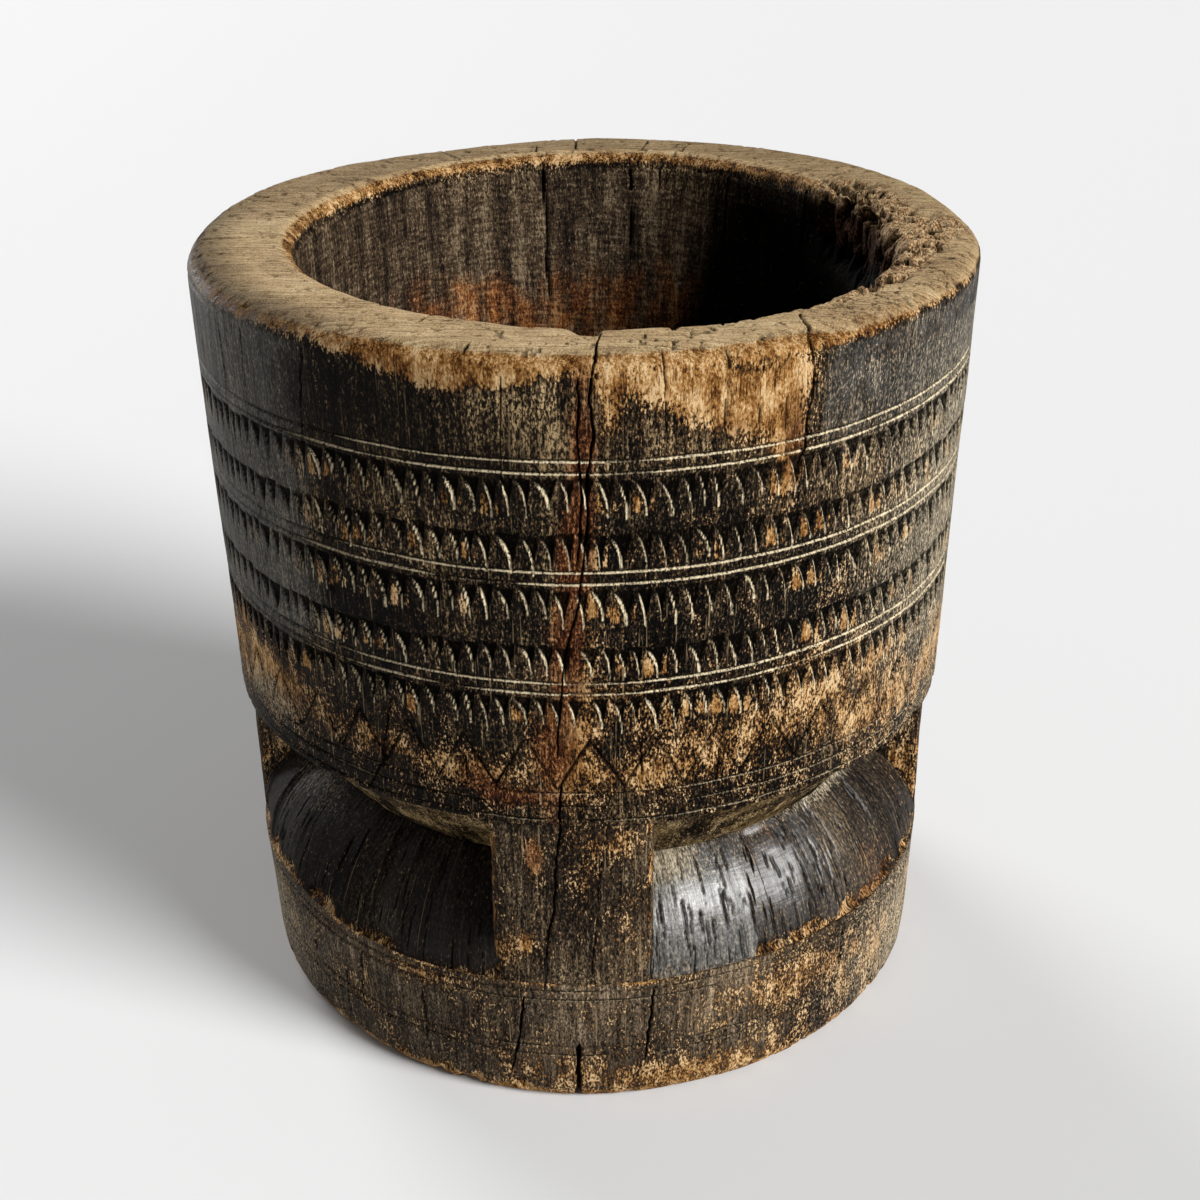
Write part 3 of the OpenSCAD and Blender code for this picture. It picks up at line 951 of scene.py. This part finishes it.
def make_skirt():
    """The sloping skirt between the waist and the foot, smooth and split by drying cracks."""
    part = np.linspace(1, 0, 50)[:, None]
    radius, height = skirt_outline(part, AZIMUTHS[None, :])
    skin = Skin(radius, height, along=part[:, 0], ends=((1, 0), (1, 0)))
    unrolled = np.stack([skin.az * 2.6 + 0 * skin.push, 0 * skin.push, skin.along * 53], -1)
    skin.marks["round_way"], skin.marks["down_way"] = unrolled[..., 0], unrolled[..., 2]
    clear = between(skin.along, 0, 0.06, 0.97, 1)
    planks = noise(unrolled, (6, 1, 90), 86) + 0.6 * noise(unrolled, (2.4, 1, 40), 87)
    skin.push += uneven(skin.base)
    skin.push += clear * (0.22 * planks + 0.25 * noise(unrolled, (9, 1, 9), 88))
    skin.push += clear * 0.07 * noise(unrolled, (7, 1, 1.4), 94)
    split_skirt(skin, clear)
    crumbs = rough_noise(unrolled, (9, 1, 7), 90)
    low_edge = smooth(0.87, 1.0, skin.along + 0.10 * crumbs)
    skin.push -= clear * 1.5 * low_edge * smooth(0.0, 0.4, crumbs)
    skin.mark("wear", 0.04 + 0.42 * low_edge + 0.14 * noise(skin.base, (20, 20, 20), 89))
    blotches = smooth(0.1, 0.8, noise(skin.base, (26, 26, 26), 79))
    skin.mark("stain", 0.3 * low_edge + 0.4 * blotches)
    # Dust, and a painted highlight on the bright plank at the front right
    skin.mark("dust_and_painted_light", hill(skin.az, skin.along, SKIRT_DUST_AND_HIGHLIGHT))
    # Painted shade beside the front strut on the left, and a darker place at the back right
    skin.mark("dirt_and_painted_shade", hill(skin.az, skin.along, SKIRT_DARKENING))
    polish_skirt(skin, unrolled, smooth(-0.1, 0.5, planks), low_edge)
    return turned_piece("sloping_skirt", [skin], closed=False)


def split_skirt(skin, clear):
    """Edges of planks, and drying cracks that are closest together at the front right."""
    rng = np.random.default_rng(85)
    edges = np.sort(rng.uniform(-180, 180, 30))
    edges = np.concatenate([edges[np.abs(edges - 20) > 18], [SPLIT]])
    for edge in edges:
        beyond = turn(skin.az - edge) * DEG * skin.r
        skin.push -= clear * 0.8 * smooth(-0.3, 0.3, beyond) * smooth(14, 0, beyond)
    for number in range(DRYING_CRACKS):
        az = rng.uniform(9, 50) if number < CLOSE_CRACKS else rng.uniform(-180, 180)
        start, long = rng.uniform(-0.05, 0.75), rng.uniform(0.14, 0.55)
        path = ((az, start), (az + rng.uniform(-0.35, 0.35), start + long))
        drying_crack(skin, path, rng.uniform(0.4, 0.9), 800 + 3 * number)


def polish_skirt(skin, unrolled, raised, low_edge):
    """Gloss where hands have rubbed, most of all on one plank at the front right, which is also
    painted a smooth grey as a painted highlight.
    """
    ragged = skin.az + 1.2 * noise(unrolled, (30, 1, 9), 78)
    plank = smooth(8, 13, skin.az) * smooth(SPLIT - 3, SPLIT - 4, ragged)
    # Painted highlight: the plank at the front right painted a smooth grey
    skin.mark("painted_sheen", 0.72 * plank * smooth(0.1, 0.35, skin.along))
    front = smooth(46, 36, np.abs(skin.az - 10))
    shaded = smooth(40, 24, np.abs(skin.az + 28))
    shiny = 0.35 + 0.65 * front - 0.35 * shaded
    right, left = (0.6 + 0.2 * plank) * shiny, np.minimum(shiny, 0.14)
    shiny = np.where(skin.az < 0, left, right) * (1 - 0.5 * raised)
    skin.mark("polish", shiny * (1 - 0.9 * skin.marks["crack"]) * (1 - low_edge))


def drying_crack(skin, places, wide, seed):
    """A short crack down the slope of the skirt."""
    (az_1, start), (az_2, end) = places
    t = (skin.along - start) / (end - start)
    centre = az_1 + (az_2 - az_1) * t
    offset = turn(skin.az - centre) * DEG * skin.r - 0.4 * wander(skin.along * 50, 3, seed)
    taper = between(t, -0.05, 0.4, 0.6, 1.05)
    shape = np.clip(1.2 - np.abs(offset) / (wide / 2 * taper + 1e-6), 0, 1)
    skin.push -= 0.8 * taper * shape
    skin.mark("crack", smooth(0, 0.6, shape) * smooth(0, 0.3, taper))


def make_foot():
    """The foot, with two pairs of lines and a worn and chipped bottom edge."""
    height = rows_between(SOLE_BEVEL, FOOT_Z, 1.05, FOOT_LINES)
    corner = np.linspace(0, 1, 9)[:-1]
    radius = np.concatenate([
        SOLE_R + (FOOT_LOW_R - SOLE_R) * np.sin(corner * math.pi / 2), foot_side_r(height),
    ])
    height = np.concatenate([SOLE_BEVEL * (1 - np.cos(corner * math.pi / 2)), height])
    skin = Skin(radius, height, ends=((1, 0), (1, 0)))
    clear = smooth(0, 5, skin.z)
    skin.push += uneven(skin.base) + clear * fibres(skin.base)
    for line in FOOT_LINES:
        cut_line(skin, line, dust=0.35)
    chips = rough_noise(skin.base, (7, 7, 9), 91)
    low = smooth(17, 0, skin.z)
    skin.push -= 3.5 * low * smooth(0.12, 0.55, chips) + 0.8 * low
    scatter_pits(skin, 92, 70, 6, FOOT_Z - 4)
    cut_cracks(skin)
    outside_marks(skin)
    skin.mark("wear", 0.20 + 0.5 * smooth(11, 2, skin.z) + 0.2 * chips)
    edge = smooth(FOOT_Z - 3, FOOT_Z, skin.z)
    skin.mark("wear", edge * (0.38 + 0.3 * noise(skin.base, (14, 14, 14), 93)))
    return turned_piece("foot_block", [skin], closed=False)


def strut_section():
    """Points across a strut that faces -Y: one side, the curved front, the other side.

    Each is x, y and the direction that it faces.
    """
    half = STRUT_W / 2
    inner_y = -WAIST_R + STRUT_ROOT
    front_y = -math.sqrt(STRUT_R**2 - half**2)
    side_y = np.linspace(inner_y, front_y + STRUT_ROUND, 36)
    left = [(-half, y, -1, 0) for y in side_y]
    bend = np.linspace(0, 90, 6)[1:-1] * DEG
    centre = (-half + STRUT_ROUND, front_y + STRUT_ROUND)
    corner = [
        (centre[0] - STRUT_ROUND * math.cos(a), centre[1] - STRUT_ROUND * math.sin(a),
         -math.cos(a), -math.sin(a)) for a in bend
    ]
    span = math.asin((half - STRUT_ROUND) / STRUT_R)
    front = [
        (STRUT_R * math.sin(a), -STRUT_R * math.cos(a), math.sin(a), -math.cos(a))
        for a in np.linspace(-span, span, 88)
    ]
    one_side = left + corner
    other_side = [(-x, y, -nx, ny) for x, y, nx, ny in reversed(one_side)]
    return np.array(one_side + front + other_side)


def make_strut(name, turned):
    """One square strut between the foot and the edge of the bowl."""
    section = strut_section()
    height = np.linspace(FOOT_Z, EDGE_Z, 100)
    angle = turned * DEG
    spin = np.array([[math.cos(angle), math.sin(angle)], [-math.sin(angle), math.cos(angle)]])
    base = np.zeros((len(height), len(section), 3))
    base[..., :2] = (section[:, :2] @ spin)[None]
    base[..., 2] = height[:, None]
    skin = StrutSkin(base, section[:, 2:] @ spin)
    front = smooth(0.5, 0.1, np.abs(section[:, 2])[None, :])
    clear = between(skin.z, FOOT_Z, FOOT_Z + 3, EDGE_Z - 3, EDGE_Z)
    skin.push += uneven(base) + clear * (fibres(base) + 0.5 * noise(base, (12, 12, 22), 101))
    corner = bell(np.abs(section[:, 0]), STRUT_W / 2 - 0.6, 1.6) * (section[:, 1] < -OUTER_STRUT)
    chips = rough_noise(base, (6, 6, 12), 102)
    skin.push -= 1.5 * corner * clear * smooth(-0.1, 0.5, chips)
    cut_cracks(skin)
    skin.marks["crack"] = skin.marks.get("crack", 0 * skin.push) * front
    worn = front * hill(skin.az, skin.z, STRUT_WORN)
    skin.mark("wear", 0.18 + 0.5 * corner * smooth(-0.4, 0.3, chips) + worn)
    stains = hill(skin.az, skin.z, STAINS) + front * hill(skin.az, skin.z, STRUT_STAINS)
    skin.mark("stain", stains)
    return strut_piece(name, skin)


class StrutSkin(Skin):
    """A grid of points up a strut: rows are heights, columns go across its section."""

    def __init__(self, base, normal):
        self.base = base
        self.normal = normal[None]
        self.z = base[..., 2]
        self.r = np.hypot(base[..., 0], base[..., 1])
        self.az = np.degrees(np.arctan2(base[..., 0], -base[..., 1]))
        self.along = self.z
        self.push = np.zeros(self.z.shape)
        self.marks = {}

    def points(self):
        """The points after carving."""
        points = self.base.copy()
        points[..., :2] += self.normal * self.push[..., None]
        return points


def strut_piece(name, skin):
    """A closed solid from the grid of a strut, with its hidden back and its two ends."""
    rows, columns = skin.push.shape
    ids = np.arange(rows * columns).reshape(rows, columns)
    faces = [quads(ids[row], ids[row + 1]) for row in range(rows - 1)]
    faces += [ids[0][::-1][None, :], ids[-1][None, :]]
    marks = {mark: values.ravel() for mark, values in skin.marks.items()}
    return build_mesh(name, skin.points().reshape(-1, 3), faces, marks, (ids[0], ids[-1]))


# ---- Materials -----------------------------------------------------------------------------


# Colours from dark to light, and where they lie along the tone of the wood
DARK_STOPS = (0.40, 0.46, 0.52, 0.575, 0.635)
BLACK = ("010101", "090705", "1f1913", "574630", "d0b284")
GREY = ("0b0907", "221c16", "443a2e", "6b5c4a", "b8a284")
DUSKY = ("080605", "17120e", "32291f", "5a4c3b", "a89270")
SLATE = ("080605", "15110e", "2a231c", "463a2b", "78684f")
BROWN = "3a2615"
GOLD_STOPS = (0.42, 0.47, 0.52, 0.58)
GOLD = ("2f1a0d", "70481f", "a47a48", "d2b285")
OLIVE = ("241b10", "574629", "87714b", "b39c72")
HOLLOW = ("0e0a08", "261e17", "463829", "7d6c56")
RUST = ("1a0d07", "42220f", "7a451f", "b07a42")
# Dirt and painted shade, and painted shade in grooves and cuts, that darken the wood: mark, share,
# colour
DARK_CUTS = (("dirt_and_painted_shade", 0.9, "0d0907"), ("groove_shade", 0.92, "040302"), ("cut", 0.9, "060403"))
# Roughness at each mark, each laid over the one before
ROUGHNESS = (("bare", 0.8), ("inside", 0.62), ("groove_shade", 0.9), ("crack", 0.95))


def colour(code):
    """Linear colour from a six-figure code."""
    parts = [int(code[k:k + 2], 16) / 255 for k in (0, 2, 4)]
    return [p / 12.92 if p <= 0.04045 else ((p + 0.055) / 1.055) ** 2.4 for p in parts] + [1]


def feed(node, values):
    """Links or sets the inputs of a node, given by name or number."""
    for key, value in values.items():
        if isinstance(value, bpy.types.NodeSocket):
            node.id_data.links.new(value, node.inputs[key])
        else:
            node.inputs[key].default_value = value


class Wood:
    """Builds the node tree of one kind of aged wood."""

    def __init__(self, name, unrolled):
        self.material = bpy.data.materials.new(name)
        self.material.use_nodes = True
        self.shader = self.material.node_tree.nodes["Principled BSDF"]
        self.place = self.unrolled() if unrolled else self.add("TexCoord", {}, "Object")

    def add(self, kind, inputs, output=0, **settings):
        """A node with its inputs and settings; gives one of its outputs."""
        node = self.material.node_tree.nodes.new("ShaderNode" + kind)
        for key, value in settings.items():
            setattr(node, key, value)
        feed(node, inputs)
        return node.outputs[output]

    def unrolled(self):
        """Distances round the log and down a slope, in place of x and z."""
        joined = self.add("CombineXYZ", {"X": self.mark("round_way"), "Z": self.mark("down_way")})
        return self.add("VectorMath", {0: joined, "Scale": MM}, operation="SCALE")

    def noise(self, cell, seed, detail=3, roughness=0.55):
        """Noise from 0 to 1, in cells of a size given in millimetres along x, y and z."""
        place = self.add("Mapping", {
            "Vector": self.place, "Location": (seed * 7.3, seed * 3.1, seed * 5.7),
            "Scale": [1 / (size * MM) for size in cell],
        })
        return self.add("TexNoise", {
            "Vector": place, "Scale": 1, "Detail": detail, "Roughness": roughness,
        }, "Fac")

    def mark(self, name):
        """A mark of the mesh, from 0 to 1."""
        return self.add("Attribute", {}, "Fac", attribute_name=name)

    def math(self, operation, first, second):
        return self.add("Math", {0: first, 1: second}, operation=operation)

    def plus(self, first, second):
        return self.math("ADD", first, second)

    def times(self, first, second):
        return self.math("MULTIPLY", first, second)

    def sum(self, *parts):
        """Sum of values, each with its share."""
        total = 0
        for value, share in parts:
            total = self.plus(self.times(value, share), total)
        return total

    def step(self, value, low, high, out_low=0, out_high=1):
        """A soft step of a value from low to high."""
        return self.add("MapRange", {
            "Value": value, "From Min": low, "From Max": high,
            "To Min": out_low, "To Max": out_high,
        }, interpolation_type="SMOOTHSTEP")

    def ramp(self, value, *stops):
        """Colours at places along a value."""
        result = self.add("ValToRGB", {"Fac": value})
        elements = result.node.color_ramp.elements
        for number, (place, code) in enumerate(stops):
            element = elements[number] if number < 2 else elements.new(place)
            element.position = place
            element.color = colour(code)
        return result

    def mix(self, share, first, second):
        """A colour between two others."""
        return self.add("Mix", {0: share, 6: first, 7: second}, 2, data_type="RGBA")

    def blend(self, share, first, second):
        """A number between two others."""
        return self.add("Mix", {0: share, 2: first, 3: second}, data_type="FLOAT")

    def bump(self, height, distance, below=None):
        """Relief of a size in millimetres, over any relief below it."""
        inputs = {"Strength": 0.9, "Distance": distance * MM, "Height": height}
        if below:
            inputs["Normal"] = below
        return self.add("Bump", inputs)


def aged_wood(name, dark, worn, gloss=0.42, relief=1.0, polish=None, unrolled=False):
    """Black-brown skin over golden wood, with cracks, grooves, stains and bare places.

    Polish is the roughness of a gloss laid over the places marked as polished.
    """
    wood = Wood(name, unrolled)
    grain = wood.noise((1.8, 1.8, 28), 1, detail=5, roughness=0.62)
    fleck = wood.noise((0.8, 0.8, 1.7), 2, detail=4, roughness=0.7)
    patch = wood.noise((9, 9, 15), 3, detail=7, roughness=0.7)
    broad = wood.noise((55, 55, 80), 4, detail=2)
    pore = wood.noise((0.6, 0.6, 9), 5, detail=2)
    ripple = wood.noise((7, 7, 1.6), 8, detail=4, roughness=0.6)
    plank = wood.noise((8, 8, 300), 9, detail=4)
    patches = wood.times(wood.math("SUBTRACT", patch, 0.5), 1.2)
    flecks = wood.times(wood.math("SUBTRACT", fleck, 0.5), 2.0)
    tone = wood.sum((grain, 0.3), (fleck, 0.7))
    worn_off = wood.plus(wood.mark("wear"), wood.times(wood.mark("tooth"), 0.5))
    worn_off = wood.plus(wood.plus(worn_off, patches), flecks)
    golden = wood.step(worn_off, 0.43, 0.60)

    # The black skin, brown where it thins and golden where it's gone
    smoother = wood.sum((tone, 1), (broad, 0.3), (0.5, -0.3))
    black = wood.ramp(smoother, *zip(DARK_STOPS, dark))
    gold = wood.ramp(wood.sum((grain, 0.2), (fleck, 0.35), (patch, 0.45)), *zip(GOLD_STOPS, worn))
    skin = wood.mix(wood.step(worn_off, 0.28, 0.47), black, colour(BROWN))
    skin = wood.mix(golden, skin, gold)
    hairline = wood.noise((1.1, 1.1, 75), 11, detail=2)
    skin = wood.mix(wood.step(hairline, 0.66, 0.71, 0, 0.5), skin, colour("9a8464"))

    # The hollow
    hollow_tone = wood.sum((fleck, 0.35), (ripple, 0.2), (plank, 0.25), (grain, 0.2))
    hollow = wood.ramp(hollow_tone, *zip(GOLD_STOPS, HOLLOW))
    rusty = wood.step(wood.plus(wood.mark("rust"), patches), 0.35, 0.80, 0, 0.9)
    hollow = wood.mix(rusty, hollow, wood.ramp(hollow_tone, *zip(GOLD_STOPS, RUST)))
    # Painted shade: the right side of the hollow painted near black
    hollow = wood.mix(wood.step(wood.mark("hollow_painted_shade"), 0, 1, 0, 0.96), hollow, colour("030202"))
    hollow = wood.mix(golden, hollow, gold)
    skin = wood.mix(wood.mark("inside"), skin, hollow)

    # Bare wood on top of the rim, with growth rings and hair-fine checks
    rings = wood.noise((26, 1.0, 26), 6, detail=5, roughness=0.65)
    bare = wood.ramp(
        wood.sum((rings, 0.3), (fleck, 0.35), (broad, 0.15), (patch, 0.2)),
        (0.41, "5c4731"), (0.46, "967c5b"), (0.52, "b39971"), (0.59, "d0b991"),
    )
    hair = wood.noise((15, 0.55, 15), 10, detail=2)
    bare = wood.mix(wood.step(hair, 0.385, 0.335, 0, 0.8), bare, colour("3a2a1a"))
    skin = wood.mix(wood.step(wood.plus(wood.mark("bare"), patches), 0.3, 0.8), skin, bare)

    # What lies over the wood: stain, rot, dust that is partly painted light, and a painted grey
    # sheen, each with a ramp of its own
    speckled = wood.sum((patches, 1.0), (flecks, 0.5))
    rotten = wood.times(wood.mark("rot"), wood.step(wood.mark("stain"), 0, 1, 1, 0.4))
    covers = (
        (wood.plus(wood.mark("stain"), speckled), 0.30, 0.95, 0.9,
         (0.39, "0e0604"), (0.47, "2e160b"), (0.54, "60351c"), (0.63, "ab7a4c")),
        (rotten, 0.1, 0.6, 0.95,
         (0.38, "2a170b"), (0.45, "6b4729"), (0.51, "ad8b62"), (0.59, "dcc69e")),
        # Dust, partly painted light on the lit right and a painted sheen at the far left
        (wood.plus(wood.mark("dust_and_painted_light"), flecks), 0.2, 0.9, 0.9,
         (0.38, "3e3628"), (0.48, "837660"), (0.58, "bdb096")),
        # Painted sheen and painted highlight: neutral grey
        (wood.plus(wood.mark("painted_sheen"), patches), 0.1, 0.8, 0.85,
         (0.38, "2b2a28"), (0.50, "575550"), (0.62, "8a867c")),
    )
    for amount, low, high, most, *stops in covers:
        skin = wood.mix(wood.step(amount, low, high, 0, most), skin, wood.ramp(tone, *stops))

    # Painted shade in cuts, pale dust with a painted highlight on their lit sides, pores and cracks
    for mark, share, code in DARK_CUTS:
        skin = wood.mix(wood.times(wood.mark(mark), share), skin, colour(code))
    pale = wood.times(wood.mark("pale"), wood.step(fleck, 0.36, 0.50, 0.25, 1))
    pale_colour = wood.ramp(tone, (0.40, "8f7a5c"), (0.56, "e0d0ae"))
    skin = wood.mix(wood.step(pale, 0.15, 0.75, 0, 0.95), skin, pale_colour)
    skin = wood.mix(wood.step(pore, 0.38, 0.32, 0, 0.7), skin, colour("080504"))
    skin = wood.mix(wood.times(wood.mark("crack"), 0.93), skin, colour("060302"))

    rough = wood.blend(golden, wood.step(fleck, 0.35, 0.65, gloss - 0.08, gloss + 0.2), 0.7)
    for mark, roughness in ROUGHNESS:
        rough = wood.blend(wood.mark(mark), rough, roughness)
    coarse = wood.sum((grain, 0.45), (golden, -0.25), (fleck, 0.3))
    coarse = wood.blend(wood.mark("inside"), coarse, wood.sum((ripple, 0.7), (plank, 0.6)))
    fine = wood.math("SUBTRACT", fleck, wood.step(pore, 0.38, 0.30, 0, 0.6))
    feed(wood.shader, {
        "Base Color": skin, "Roughness": rough, "Specular IOR Level": 0.03,
        "Normal": wood.bump(fine, 0.7 * relief, wood.bump(coarse, 0.9 * relief)),
    })
    if polish:
        slow = wood.sum((grain, 0.5), (ripple, 0.5))
        feed(wood.shader, {
            "Coat IOR": 1.6, "Coat Roughness": polish, "Coat Weight": wood.mark("polish"),
            "Coat Normal": wood.bump(slow, 0.3),
        })
    return wood.material


def make_materials():
    """One material for each of the record's slots."""
    return {
        "rim_wood": aged_wood("rim_wood", BLACK, GOLD),
        "wall_wood": aged_wood("wall_wood", BLACK, GOLD),
        "waist_wood": aged_wood("waist_wood", BLACK, OLIVE, gloss=0.6, relief=1.8, unrolled=True),
        "skirt_wood": aged_wood(
            "skirt_wood", SLATE, GOLD, gloss=0.6, relief=0.7, polish=0.34, unrolled=True
        ),
        "foot_wood": aged_wood("foot_wood", GREY, GOLD),
        "strut_wood": aged_wood("strut_wood", DUSKY, GOLD),
    }


# ---- Stage -----------------------------------------------------------------------------------


# Floor and backdrop, in metres
FLOOR_SIZE = 14
BACKDROP_R = 9.8
# Suns: name, azimuth, elevation and spread as angles, power
SUNS = (("key", 61, 29, 26, 5.4), ("behind_left", -142, 14, 30, 3.4))
ROOM_LIGHT = 0.20


def plain_material(name, code, roughness):
    """A matt, even material for the stage."""
    material = bpy.data.materials.new(name)
    material.use_nodes = True
    shader = material.node_tree.nodes["Principled BSDF"]
    feed(shader, {"Base Color": colour(code), "Roughness": roughness})
    return material


def make_floor():
    """A wide pale floor under the object."""
    bpy.ops.mesh.primitive_plane_add(size=FLOOR_SIZE)
    floor = bpy.context.object
    floor.name = "floor"
    floor.data.materials.append(plain_material("pale_floor", "d4d4d4", 0.95))


def make_backdrop():
    """A pale backdrop all round, beyond the floor, that neither lights nor shades the object."""
    bpy.ops.mesh.primitive_uv_sphere_add(segments=64, ring_count=32, radius=BACKDROP_R)
    backdrop = bpy.context.object
    backdrop.name = "backdrop"
    material = plain_material("pale_backdrop", "000000", 1)
    feed(material.node_tree.nodes["Principled BSDF"], {
        "Specular IOR Level": 0, "Emission Color": colour("f5f5f5"), "Emission Strength": 1,
    })
    material.cycles.emission_sampling = "NONE"
    backdrop.data.materials.append(material)
    backdrop.visible_diffuse = False
    backdrop.visible_glossy = False
    backdrop.visible_shadow = False


def add_sun(name, azimuth, elevation, spread, power):
    """Even light from far away; its spread is an angle in degrees."""
    light = bpy.data.lights.new(name, "SUN")
    light.angle = spread * DEG
    light.energy = power
    lamp = bpy.data.objects.new(name, light)
    lamp.rotation_euler = ((90 - elevation) * DEG, 0, azimuth * DEG)
    lamp.location = (0, 0, 1)
    bpy.context.scene.collection.objects.link(lamp)


def make_light():
    """Soft daylight from the front right, weak light from the left and behind, a pale room."""
    for sun in SUNS:
        add_sun(*sun)
    world = bpy.data.worlds.new("pale_room")
    world.use_nodes = True
    feed(world.node_tree.nodes["Background"], {"Color": (1, 1, 1, 1), "Strength": ROOM_LIGHT})
    bpy.context.scene.world = world
    bpy.context.scene.view_settings.view_transform = "Standard"


# Camera: how far from the axis, how high, how it is turned, and its lens
CAMERA_AZIMUTH = 3.1
CAMERA_AWAY = 736.9
CAMERA_HEIGHT = 541.2
CAMERA_DOWN = 27.23
CAMERA_ROLL = -0.79
CAMERA_LENS = 53.3
CAMERA_SHIFT = 0.0095


def make_camera():
    """The camera, looking down at the front of the mortar."""
    data = bpy.data.cameras.new("camera")
    data.sensor_width = 36
    data.lens = CAMERA_LENS
    data.shift_x = CAMERA_SHIFT
    camera = bpy.data.objects.new("camera", data)
    a = CAMERA_AZIMUTH * DEG
    camera.location = (
        CAMERA_AWAY * MM * math.sin(a), -CAMERA_AWAY * MM * math.cos(a), CAMERA_HEIGHT * MM
    )
    turned = Matrix.Rotation(a, 3, "Z") @ Matrix.Rotation((90 - CAMERA_DOWN) * DEG, 3, "X")
    turned = turned @ Matrix.Rotation(CAMERA_ROLL * DEG, 3, "Z")
    camera.rotation_euler = turned.to_euler()
    bpy.context.scene.collection.objects.link(camera)
    bpy.context.scene.camera = camera


# ---- Assembly --------------------------------------------------------------------------------


def place(piece, node, slot, materials):
    """Gives a piece its material and puts it in place of its CAD node."""
    piece.data.materials.append(materials[slot])
    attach(piece, "root")
    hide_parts(node)


def make_mortar():
    """Every piece of the mortar, from the rim down, on its CAD node."""
    materials = make_materials()
    place(make_rim(), "rim", "rim_wood", materials)
    for name, node, *shape in RINGS:
        place(make_ring(name, *shape), node, "wall_wood", materials)
    place(make_bowl_floor(), "bowl_floor", "wall_wood", materials)
    place(make_waist(), "waist", "waist_wood", materials)
    place(make_skirt(), "skirt", "skirt_wood", materials)
    place(make_foot(), "foot", "foot_wood", materials)
    for side, turned in (("front", 0), ("right", 90), ("back", 180), ("left", -90)):
        piece = make_strut("square_strut_" + side, turned)
        place(piece, "strut_" + side, "strut_wood", materials)


make_camera()
make_light()
make_floor()
make_backdrop()
make_mortar()
